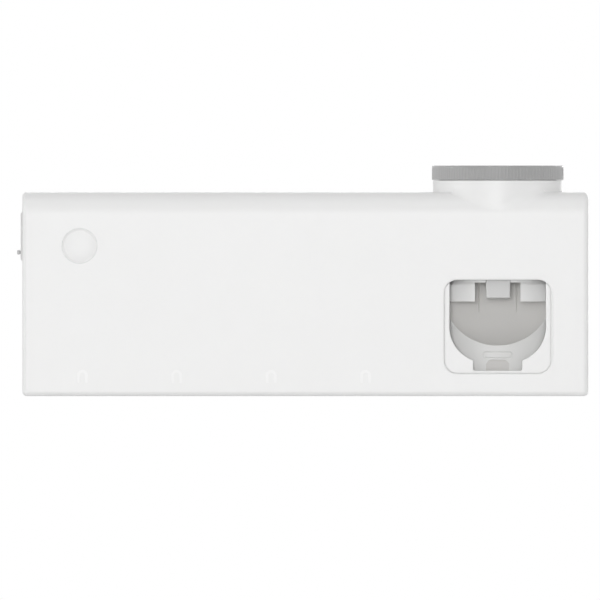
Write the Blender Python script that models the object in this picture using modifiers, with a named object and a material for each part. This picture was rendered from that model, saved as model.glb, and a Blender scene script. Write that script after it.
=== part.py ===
"""Wall-hung toothbrush sterilizer with four brush ports and a lift-out paste dispenser.

Metres, +Z up, +X to the viewer's right, -Y towards the room. The origin is the middle of the
adhesive pad's wall face, level with the middle of the housing.
"""
import math

import bmesh
import bpy
from mathutils import Euler, Vector

# Counts and steps
PORT_COUNT = 4
PETAL_SLITS = 3
RING_RIBS = 120
SPRING_TURNS = 5
SPRING_STEPS = 8
ROUND_STEPS = 48
SMALL_STEPS = 20
SCREW_STEPS = 12
ARC_STEPS = 8
TOP_STEPS = 6
EDGE_STEPS = 3
SMOOTH_ANGLE = math.radians(35)

# Fits that every piece shares
CLEARANCE = 0.0003
OVERRUN = 0.003
SINK = 0.0006
MERGE = 0.00001

# Dispenser, round sizes: the housing is built around them
WELL_RADIUS = 0.0275
SLEEVE_WALL = 0.002
BORE_GAP = 0.00065
SHELL_WALL = 0.0022
NECK_FRONT_INSET = 0.0003
NECK_BACK_ROOM = 0.003
NECK_SIDE_ROOM = 0.01295
NECK_HEIGHT = 0.0059
SLEEVE_RADIUS = WELL_RADIUS + SLEEVE_WALL
BORE_RADIUS = SLEEVE_RADIUS + BORE_GAP
NECK_RADIUS = BORE_RADIUS + SHELL_WALL

# Screws and the bosses that hold them
BOSS_RADIUS = 0.0035
BOSS_INSET = 0.006
SCREW_RADIUS = 0.0012
SCREW_LENGTH = 0.011
SCREW_HEAD_RADIUS = 0.0024
SCREW_HEAD_HEIGHT = 0.0013
SCREW_SLOT_WIDTH = 0.0006
SCREW_SLOT_DEPTH = 0.0005

# Brush ports and chamber
PORT_PITCH = 0.0472
PORT_RADIUS = 0.012
PORT_SIDE_ROOM = 0.0018
PORT_SETBACK = 0.030
GROMMET_FLANGE_WIDTH = 0.0018
GROMMET_FLANGE_HEIGHT = 0.0012
GROMMET_WALL = 0.0012
PETAL_THICKNESS = 0.0009
PETAL_HOLE_RADIUS = 0.0055
PETAL_SLIT_WIDTH = 0.0008
PETAL_SLIT_REACH = 0.0098
GROMMET_FLANGE_RADIUS = PORT_RADIUS + GROMMET_FLANGE_WIDTH - CLEARANCE
LINER_WALL = 0.0015
LINER_GAP = 0.0015
LINER_RIGHT_ROOM = 0.0089
PARTITION_WALL = 0.0018
PARTITION_TO_SLEEVE = 0.0077
CHAMBER_HEIGHT = 0.0578
BAY_HEIGHT = 0.0383

# Housing
TOP_FRONT_RADIUS = 0.011
EDGE_RADIUS = 0.0023
WALL_GAP = 0.0015
PORT_TO_LEFT = (
    SHELL_WALL + BOSS_INSET + BOSS_RADIUS + LINER_GAP + LINER_WALL + PORT_SIDE_ROOM + GROMMET_FLANGE_RADIUS
)
PORT_TO_DISPENSER = (
    GROMMET_FLANGE_RADIUS
    + LINER_RIGHT_ROOM
    + LINER_WALL
    + LINER_GAP
    + BOSS_RADIUS
    + PARTITION_TO_SLEEVE
    + SLEEVE_RADIUS
)
BODY_WIDTH = PORT_TO_LEFT + (PORT_COUNT - 1) * PORT_PITCH + PORT_TO_DISPENSER + NECK_RADIUS + NECK_SIDE_ROOM
BODY_HEIGHT = SHELL_WALL + CHAMBER_HEIGHT + LINER_WALL + BAY_HEIGHT + SHELL_WALL
BODY_DEPTH = NECK_FRONT_INSET + NECK_RADIUS + NECK_RADIUS + NECK_BACK_ROOM

LEFT_X = -BODY_WIDTH / 2
RIGHT_X = BODY_WIDTH / 2
BOTTOM_Z = -BODY_HEIGHT / 2
TOP_Z = BODY_HEIGHT / 2
COVER_BACK_Y = -WALL_GAP
FRONT_Y = -(WALL_GAP + BODY_DEPTH)
INNER_LEFT_X = LEFT_X + SHELL_WALL
INNER_RIGHT_X = RIGHT_X - SHELL_WALL
INNER_BOTTOM_Z = BOTTOM_Z + SHELL_WALL
INNER_TOP_Z = TOP_Z - SHELL_WALL
INNER_FRONT_Y = FRONT_Y + SHELL_WALL
DISPENSER_X = RIGHT_X - NECK_SIDE_ROOM - NECK_RADIUS
DISPENSER_Y = FRONT_Y + NECK_FRONT_INSET + NECK_RADIUS
NECK_TOP_Z = TOP_Z + NECK_HEIGHT
SHELF_TOP_Z = INNER_TOP_Z - BAY_HEIGHT
PORT_Y = FRONT_Y + PORT_SETBACK

# Wall bracket, pad and the rear cover that hangs on them
PAD_WIDTH = 0.110
PAD_HEIGHT = 0.038
PAD_THICKNESS = 0.001
BRACKET_WIDTH = 0.120
BRACKET_HEIGHT = 0.044
BRACKET_PLATE = 0.002
BRACKET_CORNER = 0.004
HOOK_SPACING = 0.080
HOOK_WIDTH = 0.010
HOOK_STEM = 0.0025
HOOK_LENGTH = 0.008
HOOK_THICKNESS = 0.002
HOOK_DROP = 0.002
HANG_LIFT = 0.008
COVER_PLATE = 0.0024
COVER_FLOOR = 0.002
LIP_DEPTH = 0.0025
LIP_WALL = 0.0016
RECESS_WALL = 0.002
BRACKET_BACK_Y = -(PAD_THICKNESS + CLEARANCE)
BRACKET_FRONT_Y = BRACKET_BACK_Y - BRACKET_PLATE
RECESS_Y = BRACKET_FRONT_Y - CLEARANCE
COVER_FLOOR_Y = RECESS_Y - COVER_FLOOR
HOOK_BACK_Y = COVER_FLOOR_Y - CLEARANCE
HOOK_FRONT_Y = HOOK_BACK_Y - HOOK_THICKNESS
COVER_FRONT_Y = COVER_BACK_Y - COVER_PLATE
SHELL_BACK_Y = COVER_FRONT_Y - CLEARANCE
LIP_FRONT_Y = COVER_FRONT_Y - LIP_DEPTH

PARTITION_X = DISPENSER_X - SLEEVE_RADIUS - PARTITION_TO_SLEEVE
LINER_LEFT_X = INNER_LEFT_X + BOSS_INSET + BOSS_RADIUS + LINER_GAP
LINER_RIGHT_X = PARTITION_X - BOSS_RADIUS - LINER_GAP
LINER_BACK_ROOM = 0.0021
LINER_BACK_Y = HOOK_FRONT_Y - LINER_BACK_ROOM
LINER_INNER_Y = LINER_BACK_Y - LINER_WALL

# Window, bezel and the dispenser's cut-away front, as heights over the window's own edges
WINDOW_SIDE_INSET = 0.00255
WINDOW_ABOVE_BOTTOM = 0.0107
WINDOW_HEIGHT = 0.0474
WINDOW_CORNER = 0.0065
WINDOW_HALF = SLEEVE_RADIUS - WINDOW_SIDE_INSET
WINDOW_LOW_Z = BOTTOM_Z + WINDOW_ABOVE_BOTTOM
WINDOW_TOP_Z = WINDOW_LOW_Z + WINDOW_HEIGHT
BEZEL_RECESS = 0.0004
BEZEL_PLATE = 0.0021
BEZEL_FLANGE = 0.0013
BEZEL_FLANGE_WIDTH = 0.003
BEZEL_SIDE = 0.0021
BEZEL_BOTTOM_BAR = 0.0013
BEZEL_CORNER_RADIUS = 0.0175
BEZEL_ARC_RADIUS = 0.03075
BEZEL_ARC_ABOVE_WINDOW = 0.0046
NOTCH_HALF = 0.01225
NOTCH_CORNER = 0.001

SLEEVE_BELOW_WINDOW = 0.0007
SLEEVE_FLOOR = 0.0015
SLEEVE_ABOVE_NECK = 0.0031
LEDGE_WIDTH = 0.0015
LEDGE_HEIGHT = 0.0015
OPENING_SIDE_GAP = 0.0023
OPENING_ABOVE_WINDOW = 0.0146
OPENING_DEPTH_BACK = 0.010
BLOCK_DROP = 0.0108
SLOT_HALF = 0.0114
ARC_OVER_WELL = 0.0005
ARCH_WIDTH = 0.0119
ARCH_HEIGHT = 0.0058
ARCH_CORNER = 0.0027
ARCH_DEPTH = 0.0012
ARCH_ABOVE_FLOOR = 0.0009
BAR_ABOVE_ARCH = 0.0008
BAR_WIDTH = 0.015
BAR_HEIGHT = 0.0037
BAR_PROUD = 0.00035
SLEEVE_LOW_Z = WINDOW_LOW_Z - SLEEVE_BELOW_WINDOW
SLEEVE_FLOOR_Z = SLEEVE_LOW_Z + SLEEVE_FLOOR
SLEEVE_TOP_Z = NECK_TOP_Z + SLEEVE_ABOVE_NECK

# Grip ring
RING_HEIGHT = 0.0071
RING_OVER_NECK = 0.00055
RING_RIB_DEPTH = 0.00025
RING_SHOULDER = 0.0011
RING_ROUND = 0.00075
RING_LOW_Z = NECK_TOP_Z + CLEARANCE
RING_TOP_Z = RING_LOW_Z + RING_HEIGHT
RING_RADIUS = NECK_RADIUS + RING_OVER_NECK

# Pump block, hung in the sleeve above the window
DECK_ABOVE_WINDOW = 0.0149
DECK_THICKNESS = 0.003
PUMP_LENGTH = 0.014
PUMP_RADIUS = 0.0074
SPRING_SEAT_RADIUS = 0.0054
SPRING_SEAT_DEPTH = 0.007
PISTON_RADIUS = 0.0033
PISTON_GAP = 0.00015
CHAMBER_CEILING = 0.0015
DUCT_RADIUS = 0.0018
DUCT_DROP = 0.0034
ARM_HEIGHT = 0.007
INLET_RADIUS = 0.0026
SEAL_RADIUS = 0.009
SEAL_RECESS = 0.0015
SEAL_HEIGHT = 0.0075
SEAL_NECK_RADIUS = 0.0072
SOCKET_TOP_RADIUS = 0.0048
SOCKET_LOW_RADIUS = 0.0044
VALVE_LENGTH = 0.0026
VALVE_TIP_RADIUS = 0.0012
VALVE_SLIT_RADIUS = 0.0004
NOZZLE_WIDTH = 0.0125
NOZZLE_DEPTH = 0.011
NOZZLE_FRONT_GAP = 0.00335
NOZZLE_DROP = 0.0087
NOZZLE_TAPER = 0.0004
NOZZLE_EDGE = 0.0005
DECK_LOW_Z = WINDOW_TOP_Z + DECK_ABOVE_WINDOW
DECK_TOP_Z = DECK_LOW_Z + DECK_THICKNESS
PUMP_LOW_Z = DECK_LOW_Z - PUMP_LENGTH
SPRING_SEAT_Z = PUMP_LOW_Z + SPRING_SEAT_DEPTH
PISTON_TOP_Z = DECK_LOW_Z - CHAMBER_CEILING
ARM_LOW_Z = DECK_LOW_Z - ARM_HEIGHT
NOZZLE_FRONT_Y = DISPENSER_Y - SLEEVE_RADIUS + NOZZLE_FRONT_GAP
NOZZLE_BACK_Y = NOZZLE_FRONT_Y + NOZZLE_DEPTH
NOZZLE_LOW_Z = WINDOW_TOP_Z - NOZZLE_DROP

# Push plate, its pin and the plunger that it lifts
PLATE_THICKNESS = 0.002
PLATE_SETBACK = 0.0220
PLATE_SIDE_GAP = 0.0008
PLATE_CORNER = 0.010
PLATE_ABOVE_FLOOR = 0.0012
PLATE_TOP_DROP = 0.004
PLATE_WEB_DROP = 0.0018
PLATE_RIB_HEIGHT = 0.003
PLATE_RIB_WIDTH = 0.0016
GROOVE_OFFSET = 0.0094
GROOVE_DROP = 0.0163
GROOVE_WIDTH = 0.0014
GROOVE_TIP = 0.0004
GROOVE_DEPTH = 0.0011
HINGE_DROP = 0.013
PIN_RADIUS = 0.00125
BARREL_RADIUS = 0.0026
BARREL_INNER = 0.0084
BARREL_LENGTH = 0.005
EAR_THICKNESS = 0.002
EAR_RADIUS = 0.003
FOOT_DROP = 0.0087
FOOT_RADIUS = 0.006
FOOT_THICKNESS = 0.002
STEM_RADIUS = 0.003
ROCKER_RADIUS = 0.002
ROCKER_WIDTH = 0.008
PISTON_LENGTH = 0.0025
PISTON_DROP = 0.0055
CUP_HEIGHT = 0.0012
SPRING_RADIUS = 0.0046
SPRING_WIRE = 0.0004
PLATE_FRONT_Y = FRONT_Y + PLATE_SETBACK
PLATE_BACK_Y = PLATE_FRONT_Y + PLATE_THICKNESS
HINGE_Y = PLATE_FRONT_Y + PLATE_THICKNESS / 2
HINGE_Z = DECK_LOW_Z - HINGE_DROP
FOOT_LOW_Z = HINGE_Z - FOOT_DROP
ROCKER_Z = FOOT_LOW_Z - CLEARANCE - ROCKER_RADIUS
PLATE_LOW_Z = SLEEVE_FLOOR_Z + PLATE_ABOVE_FLOOR
PLATE_TOP_Z = HINGE_Z - PLATE_TOP_DROP
CHORD_OFFSET = DISPENSER_Y - PLATE_FRONT_Y
PLATE_HALF = math.sqrt(WELL_RADIUS**2 - CHORD_OFFSET**2) - PLATE_SIDE_GAP
PISTON_HEAD_Z = PISTON_TOP_Z - PISTON_DROP

# Electronics in the bay over the chamber
BUTTON_RADIUS = 0.00875
BUTTON_ABOVE_SHELF = 0.0136
BUTTON_SIDE = 0.0286
BUTTON_CAP = 0.0018
BUTTON_EDGE = 0.0004
BUTTON_STEM_RADIUS = 0.003
BUTTON_GROOVE_RADIUS = 0.0072
BUTTON_GROOVE = 0.0003
BUTTON_TRAVEL = 0.0008
BUTTON_ROOM = 0.0001
GUIDE_WALL = 0.0014
GUIDE_DEPTH = 0.0018
BOARD_WIDTH = 0.060
BOARD_SIDE = 0.010
BOARD_EDGE_ROOM = 0.0026
BOARD_THICKNESS = 0.0016
BOARD_POST_LENGTH = 0.007
BOARD_POST_RADIUS = 0.0025
BOARD_POST_INSET = 0.004
BOARD_SCREW_LENGTH = 0.0055
CHIP_WIDTH = 0.010
CHIP_HEIGHT = 0.0015
CHIP_SIDE = 0.036
TACT_WIDTH = 0.006
TACT_HEIGHT = 0.0035
TACT_PIN_RADIUS = 0.00175
TACT_PIN_LENGTH = 0.0013
BATTERY_RADIUS = 0.0092
BATTERY_LENGTH = 0.065
BATTERY_TIP_RADIUS = 0.0025
BATTERY_TIP_LENGTH = 0.001
BATTERY_SIDE = 0.076
CRADLE_WALL = 0.002
CRADLE_FLOOR = 0.002
CRADLE_HEIGHT = 0.011
DRIVER_WIDTH = 0.036
DRIVER_DEPTH = 0.018
DRIVER_COIL_WIDTH = 0.012
DRIVER_COIL_HEIGHT = 0.009
DRIVER_GAP = 0.006
BUTTON_X = LEFT_X + BUTTON_SIDE
BUTTON_Z = SHELF_TOP_Z + BUTTON_ABOVE_SHELF
BOARD_FRONT_Y = INNER_FRONT_Y + BOARD_POST_LENGTH + CLEARANCE
BOARD_BACK_Y = BOARD_FRONT_Y + BOARD_THICKNESS
BOARD_LEFT_X = INNER_LEFT_X + BOARD_SIDE
BOARD_LOW_Z = SHELF_TOP_Z + BOARD_EDGE_ROOM
BOARD_TOP_Z = INNER_TOP_Z - BOARD_EDGE_ROOM
TACT_BACK_Y = BOARD_FRONT_Y - CLEARANCE
TACT_FRONT_Y = TACT_BACK_Y - TACT_HEIGHT
TACT_PIN_Y = TACT_FRONT_Y - TACT_PIN_LENGTH
BUTTON_STEM_Y = TACT_PIN_Y - BUTTON_TRAVEL - BUTTON_ROOM
BATTERY_Y = (INNER_FRONT_Y + LINER_BACK_Y) / 2
BATTERY_LEFT_X = LEFT_X + BATTERY_SIDE
BATTERY_Z = SHELF_TOP_Z + CLEARANCE + CRADLE_FLOOR + CLEARANCE + BATTERY_RADIUS

# Switch plate and what is behind it
SWITCH_PLATE_HEIGHT = 0.025
SWITCH_PLATE_DEPTH = 0.012
SWITCH_PLATE_PROUD = 0.00085
SWITCH_PLATE_DROP = 0.00085
SWITCH_PLATE_RAMP = 0.0012
SWITCH_PLATE_SETBACK = 0.0345
SWITCH_FLANGE_WIDTH = 0.0015
SWITCH_FLANGE = 0.0014
KNOB_HEIGHT = 0.0028
KNOB_DEPTH = 0.0022
KNOB_PROUD = 0.00225
KNOB_TRAVEL = 0.004
KNOB_ABOVE_PLATE_END = 0.0046
KNOB_HEAD_DEPTH = 0.0042
KNOB_HEAD_GAP = 0.0003
INLET_WIDTH = 0.0092
INLET_DEPTH = 0.0036
INLET_BELOW_PLATE_TOP = 0.0066
SOCKET_WALL = 0.0005
SOCKET_LENGTH = 0.008
SWITCH_BODY_HEIGHT = 0.0086
SWITCH_BODY_DEPTH = 0.0046
SWITCH_BODY_WIDTH = 0.005
SWITCH_PLATE_Z = (SHELF_TOP_Z + INNER_TOP_Z) / 2 - SWITCH_PLATE_DROP
SWITCH_PLATE_Y = FRONT_Y + SWITCH_PLATE_SETBACK
SWITCH_PLATE_X = LEFT_X - SWITCH_PLATE_PROUD
SWITCH_FLANGE_X = INNER_LEFT_X + CLEARANCE
SWITCH_BACK_X = SWITCH_FLANGE_X + SWITCH_FLANGE
KNOB_Z = SWITCH_PLATE_Z - SWITCH_PLATE_HEIGHT / 2 + KNOB_ABOVE_PLATE_END
INLET_Z = SWITCH_PLATE_Z + SWITCH_PLATE_HEIGHT / 2 - INLET_BELOW_PLATE_TOP

# Lamp, its holders and the reflector behind it
LAMP_RADIUS = 0.004
LAMP_LENGTH = 0.110
LAMP_BELOW_SHELF = 0.011
LAMP_CAP_LENGTH = 0.008
LAMP_CAP_RADIUS = 0.0048
REFLECTOR_RADIUS = 0.0087
REFLECTOR_WALL = 0.0006
HOLDER_LENGTH = 0.006
HOLDER_HEIGHT = 0.014
HOLDER_FRONT = 0.007
LAMP_Y = LINER_INNER_Y - CLEARANCE - REFLECTOR_RADIUS
LAMP_Z = SHELF_TOP_Z - LINER_WALL - LAMP_BELOW_SHELF
LAMP_X = (LINER_LEFT_X + LINER_RIGHT_X) / 2

# Arch marks over the ports
MARK_WIDTH = 0.0053
MARK_HEIGHT = 0.0065
MARK_STROKE = 0.0013
MARK_PROUD = 0.00025
MARK_ABOVE_BOTTOM = 0.0065

# Planes: how a piece drawn flat is turned, and so which way its thickness or its axis runs
TOP = Euler((0, 0, 0))
FRONT = Euler((math.pi / 2, 0, 0))
SIDE = Euler((math.pi / 2, 0, math.pi / 2))

# Surface finishes: colour, roughness, metallic
WHITE_PLASTIC = ((0.86, 0.86, 0.855, 1), 0.38, 0)
GREY_PLASTIC = ((0.40, 0.40, 0.40, 1), 0.45, 0)
WARM_PLASTIC = ((0.52, 0.51, 0.49, 1), 0.5, 0)
CLOUD_PLASTIC = ((0.66, 0.66, 0.65, 1), 0.45, 0)
DARK_PLASTIC = ((0.09, 0.09, 0.10, 1), 0.5, 0)
SILICONE = ((0.72, 0.72, 0.72, 1), 0.6, 0)
STEEL = ((0.62, 0.62, 0.63, 1), 0.3, 1)
BRIGHT_METAL = ((0.85, 0.85, 0.86, 1), 0.15, 1)
BOARD_GREEN = ((0.03, 0.22, 0.10, 1), 0.45, 0)
CELL_WRAP = ((0.08, 0.30, 0.50, 1), 0.4, 0)
LAMP_GLASS = ((0.85, 0.90, 0.97, 1), 0.08, 0)
FOAM = ((0.75, 0.75, 0.74, 1), 0.9, 0)


def clear_scene():
    for obj in list(bpy.data.objects):
        bpy.data.objects.remove(obj, do_unlink=True)


def new_collection(name):
    made = bpy.data.collections.new(name)
    bpy.context.scene.collection.children.link(made)
    return made


def material(name, finish):
    made = bpy.data.materials.new(name)
    made.use_nodes = True
    shader = made.node_tree.nodes["Principled BSDF"]
    colour, roughness, metallic = finish
    shader.inputs["Base Color"].default_value = colour
    shader.inputs["Roughness"].default_value = roughness
    shader.inputs["Metallic"].default_value = metallic
    return made


class Bench:
    """Holds the two collections and the empties that carry the moving groups."""

    def __init__(self):
        self.parts = new_collection("toothbrush_sterilizer")
        self.cutters = new_collection("cutters")
        self.frames = {}

    def frame(self, name, place, parent=None):
        """An empty on a group's own axis or reference point."""
        empty = bpy.data.objects.new(name, None)
        self.parts.objects.link(empty)
        empty.location = Vector(place)
        if parent:
            empty.parent = self.frames[parent]
            empty.location = Vector(place) - self.world(parent)
        self.frames[name] = empty
        return empty

    def world(self, name):
        """Where a frame stands in the world; frames are never turned."""
        total = Vector((0, 0, 0))
        empty = self.frames[name]
        while empty:
            total += empty.location
            empty = empty.parent
        return total

    def tool(self, obj):
        """Keeps an object as a cutter: drawn as wire and left out of the part."""
        self.cutters.objects.link(obj)
        obj.hide_render = True
        obj.display_type = "WIRE"
        return obj

    def part(self, obj, name, finish, frame):
        """Names a finished piece, gives it its material and hangs it on its frame."""
        obj.name = name
        obj.data.name = name
        obj.data.materials.clear()
        obj.data.materials.append(material(name, finish))
        self.parts.objects.link(obj)
        obj.parent = self.frames[frame]
        obj.location = obj.location - self.world(frame)
        return obj


def mesh_object(name, bm, centre, turn=TOP, smooth=False):
    mesh = bpy.data.meshes.new(name)
    bm.to_mesh(mesh)
    bm.free()
    if smooth:
        mesh.shade_smooth()
        mesh.set_sharp_from_angle(angle=SMOOTH_ANGLE)
    obj = bpy.data.objects.new(name, mesh)
    obj.location = Vector(centre)
    obj.rotation_euler = turn
    return obj


def box(name, low, high):
    """A box between two corners, on its own middle."""
    low, high = Vector(low), Vector(high)
    bm = bmesh.new()
    bmesh.ops.create_cube(bm, size=1)
    bmesh.ops.scale(bm, vec=high - low, verts=bm.verts)
    return mesh_object(name, bm, (low + high) / 2)


def soft_box(name, low, high, radius, steps=EDGE_STEPS, along=None):
    """A box whose edges are rounded: all of them, or the four that run along one axis."""
    obj = box(name, low, high)
    mesh = obj.data
    weights = mesh.attributes.new("bevel_weight_edge", "FLOAT", "EDGE")
    for edge in mesh.edges:
        first, second = (mesh.vertices[index].co for index in edge.vertices)
        step = second - first
        runs = along is None or abs(step[along]) > MERGE
        weights.data[edge.index].value = 1 if runs else 0
    bevel = obj.modifiers.new("rounded_edges", "BEVEL")
    bevel.limit_method = "WEIGHT"
    bevel.width = radius
    bevel.segments = steps
    bevel.use_clamp_overlap = False
    mesh.shade_smooth()
    mesh.set_sharp_from_angle(angle=SMOOTH_ANGLE)
    return obj


def rod(name, radius, centre, length, turn=TOP, steps=SMALL_STEPS, end_radius=None):
    """A cylinder or cone on its own middle; turn says which way its axis runs."""
    bm = bmesh.new()
    far = radius if end_radius is None else end_radius
    bmesh.ops.create_cone(bm, cap_ends=True, segments=steps, radius1=radius, radius2=far, depth=length)
    return mesh_object(name, bm, centre, turn, smooth=True)


def upright(name, radius, x, y, low, high, steps=SMALL_STEPS):
    """A vertical cylinder between two heights."""
    return rod(name, radius, (x, y, (low + high) / 2), high - low, TOP, steps)


def fore_aft(name, radius, x, z, front, back, steps=SMALL_STEPS):
    """A cylinder along Y between two depths."""
    return rod(name, radius, (x, (front + back) / 2, z), back - front, FRONT, steps)


def across(name, radius, y, z, left, right, steps=SMALL_STEPS):
    """A cylinder along X between two places."""
    return rod(name, radius, ((left + right) / 2, y, z), right - left, SIDE, steps)


def turned(name, profile, centre, turn=TOP, steps=ROUND_STEPS, closed=False):
    """A profile of radius and height, spun by a Screw modifier about its own Z."""
    bm = bmesh.new()
    verts = [bm.verts.new((radius, 0, height)) for radius, height in profile]
    for first, second in zip(verts, verts[1:]):
        bm.edges.new((first, second))
    if closed:
        bm.edges.new((verts[-1], verts[0]))
    obj = mesh_object(name, bm, centre, turn)
    screw = obj.modifiers.new("turned", "SCREW")
    screw.axis = "Z"
    screw.angle = math.tau
    screw.steps = steps
    screw.render_steps = steps
    screw.use_merge_vertices = True
    screw.merge_threshold = MERGE
    screw.use_smooth_shade = True
    return obj


def arc(centre, radii, start, end, steps=ARC_STEPS):
    """Points on an ellipse's arc between two angles in degrees, both ends included."""
    points = []
    for step in range(steps + 1):
        angle = math.radians(start + (end - start) * step / steps)
        points.append((centre[0] + radii[0] * math.cos(angle), centre[1] + radii[1] * math.sin(angle)))
    return points


def prism(name, points, centre, thickness, turn=TOP):
    """A flat outline, filled and given a thickness, as a welded mesh."""
    curve = bpy.data.curves.new(name, "CURVE")
    curve.dimensions = "2D"
    curve.fill_mode = "BOTH"
    curve.extrude = thickness / 2
    spline = curve.splines.new("POLY")
    spline.points.add(len(points) - 1)
    for point, (u, v) in zip(spline.points, points):
        point.co = (u, v, 0, 1)
    spline.use_cyclic_u = True
    drawn = bpy.data.objects.new(name, curve)
    return welded(drawn, name, centre, turn)


def welded(drawn, name, centre, turn=TOP, smooth=False):
    """A curve object turned into a closed mesh; the curve itself is removed."""
    bpy.context.scene.collection.objects.link(drawn)
    graph = bpy.context.evaluated_depsgraph_get()
    mesh = bpy.data.meshes.new_from_object(drawn.evaluated_get(graph))
    bpy.data.objects.remove(drawn, do_unlink=True)
    bm = bmesh.new()
    bm.from_mesh(mesh)
    bpy.data.meshes.remove(mesh)
    bmesh.ops.remove_doubles(bm, verts=bm.verts, dist=MERGE)
    bmesh.ops.recalc_face_normals(bm, faces=bm.faces)
    return mesh_object(name, bm, centre, turn, smooth)


def boolean(target, tool, operation):
    step = target.modifiers.new(tool.name, "BOOLEAN")
    step.operation = operation
    step.solver = "EXACT"
    step.object = tool
    return target


def cut(bench, target, *tools):
    for tool in tools:
        boolean(target, bench.tool(tool), "DIFFERENCE")
    return target


def join(bench, target, *tools):
    for tool in tools:
        boolean(target, bench.tool(tool), "UNION")
    return target


def keep(bench, target, *tools):
    for tool in tools:
        boolean(target, bench.tool(tool), "INTERSECT")
    return target


def port_places():
    return [LEFT_X + PORT_TO_LEFT + index * PORT_PITCH for index in range(PORT_COUNT)]


def boss_places():
    """Where the six cover screws stand: the four corners and both ends of the partition."""
    side = SHELL_WALL + BOSS_INSET
    columns = (LEFT_X + side, PARTITION_X, RIGHT_X - side)
    return [(x, z) for z in (BOTTOM_Z + side, TOP_Z - side) for x in columns]


def board_post_places():
    low = (BOARD_LEFT_X + BOARD_POST_INSET, BOARD_LOW_Z + BOARD_POST_INSET)
    high = (BOARD_LEFT_X + BOARD_WIDTH - BOARD_POST_INSET, BOARD_TOP_Z - BOARD_POST_INSET)
    return [low, high]


def housing_block(name, low, high, top_radius, edge_radius):
    """The housing's outer or inner form: a box with a large radius along its top front edge."""
    low, high = Vector(low), Vector(high)
    bm = bmesh.new()
    bmesh.ops.create_cube(bm, size=1)
    bmesh.ops.scale(bm, vec=high - low, verts=bm.verts)
    bmesh.ops.translate(bm, vec=(low + high) / 2, verts=bm.verts)

    def all_at(edge, axis, value):
        return all(abs(vert.co[axis] - value) < MERGE for vert in edge.verts)

    top_front = [edge for edge in bm.edges if all_at(edge, 1, low.y) and all_at(edge, 2, high.z)]
    bmesh.ops.bevel(
        bm, geom=top_front, offset=top_radius, segments=TOP_STEPS, profile=0.5, affect="EDGES"
    )
    if edge_radius:
        ends = [
            edge
            for edge in bm.edges
            if (all_at(edge, 0, low.x) or all_at(edge, 0, high.x)) and not all_at(edge, 1, high.y)
        ]
        ends += [edge for edge in bm.edges if all_at(edge, 1, low.y) and all_at(edge, 2, low.z)]
        bmesh.ops.bevel(
            bm, geom=ends, offset=edge_radius, segments=EDGE_STEPS, profile=0.5, affect="EDGES"
        )
    return mesh_object(name, bm, (0, 0, 0), smooth=True)


def arch_mark(x):
    """One raised arch over a brush port: two legs under a half ring, open at the bottom."""
    half = MARK_WIDTH / 2
    spring = MARK_HEIGHT - half
    outer = arc((0, spring), (half, half), 0, 180)
    inner_radius = half - MARK_STROKE
    inner = arc((0, spring), (inner_radius, inner_radius), 180, 0)
    points = [(half, 0), *outer, (-half, 0), (-inner_radius, 0), *inner, (inner_radius, 0)]
    thickness = MARK_PROUD + SINK
    place = (x, FRONT_Y - MARK_PROUD + thickness / 2, BOTTOM_Z + MARK_ABOVE_BOTTOM)
    return prism("arch_mark", points, place, thickness, FRONT)


def front_shell(bench):
    """White housing: walls, neck, partition, screw bosses, window, ports and marks."""
    shell = housing_block(
        "front_shell",
        (LEFT_X, FRONT_Y, BOTTOM_Z),
        (RIGHT_X, SHELL_BACK_Y, TOP_Z),
        TOP_FRONT_RADIUS,
        EDGE_RADIUS,
    )
    neck_low = TOP_Z - TOP_FRONT_RADIUS
    join(bench, shell, upright("neck", NECK_RADIUS, DISPENSER_X, DISPENSER_Y, neck_low, NECK_TOP_Z, ROUND_STEPS))
    cavity = housing_block(
        "cavity",
        (INNER_LEFT_X, INNER_FRONT_Y, INNER_BOTTOM_Z),
        (INNER_RIGHT_X, SHELL_BACK_Y + OVERRUN, INNER_TOP_Z),
        TOP_FRONT_RADIUS - SHELL_WALL,
        0,
    )
    cut(bench, shell, cavity)
    join(bench, shell, shell_insides(bench))
    shell_cuts(bench, shell)
    for x in port_places():
        join(bench, shell, arch_mark(x))
    bench.part(shell, "front_shell", WHITE_PLASTIC, "housing")


def shell_insides(bench):
    """Partition, screw bosses, board posts and button guide, trimmed to the housing's inner form."""
    front = INNER_FRONT_Y - OVERRUN
    inside = box(
        "partition",
        (PARTITION_X - PARTITION_WALL / 2, front, INNER_BOTTOM_Z - OVERRUN),
        (PARTITION_X + PARTITION_WALL / 2, LIP_FRONT_Y - CLEARANCE, INNER_TOP_Z + OVERRUN),
    )
    for x, z in boss_places():
        join(bench, inside, fore_aft("boss", BOSS_RADIUS, x, z, front, SHELL_BACK_Y, SCREW_STEPS))
    for x, z in board_post_places():
        back = INNER_FRONT_Y + BOARD_POST_LENGTH
        join(bench, inside, fore_aft("post", BOARD_POST_RADIUS, x, z, front, back, SCREW_STEPS))
    guide_radius = BUTTON_RADIUS + CLEARANCE + GUIDE_WALL
    guide_back = INNER_FRONT_Y + GUIDE_DEPTH
    join(bench, inside, fore_aft("guide", guide_radius, BUTTON_X, BUTTON_Z, front, guide_back))
    inner_form = housing_block(
        "inner_form",
        (INNER_LEFT_X - SINK, INNER_FRONT_Y - SINK, INNER_BOTTOM_Z - SINK),
        (INNER_RIGHT_X + SINK, OVERRUN, INNER_TOP_Z + SINK),
        TOP_FRONT_RADIUS - SHELL_WALL + SINK,
        0,
    )
    keep(bench, inside, inner_form)
    return inside


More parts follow.
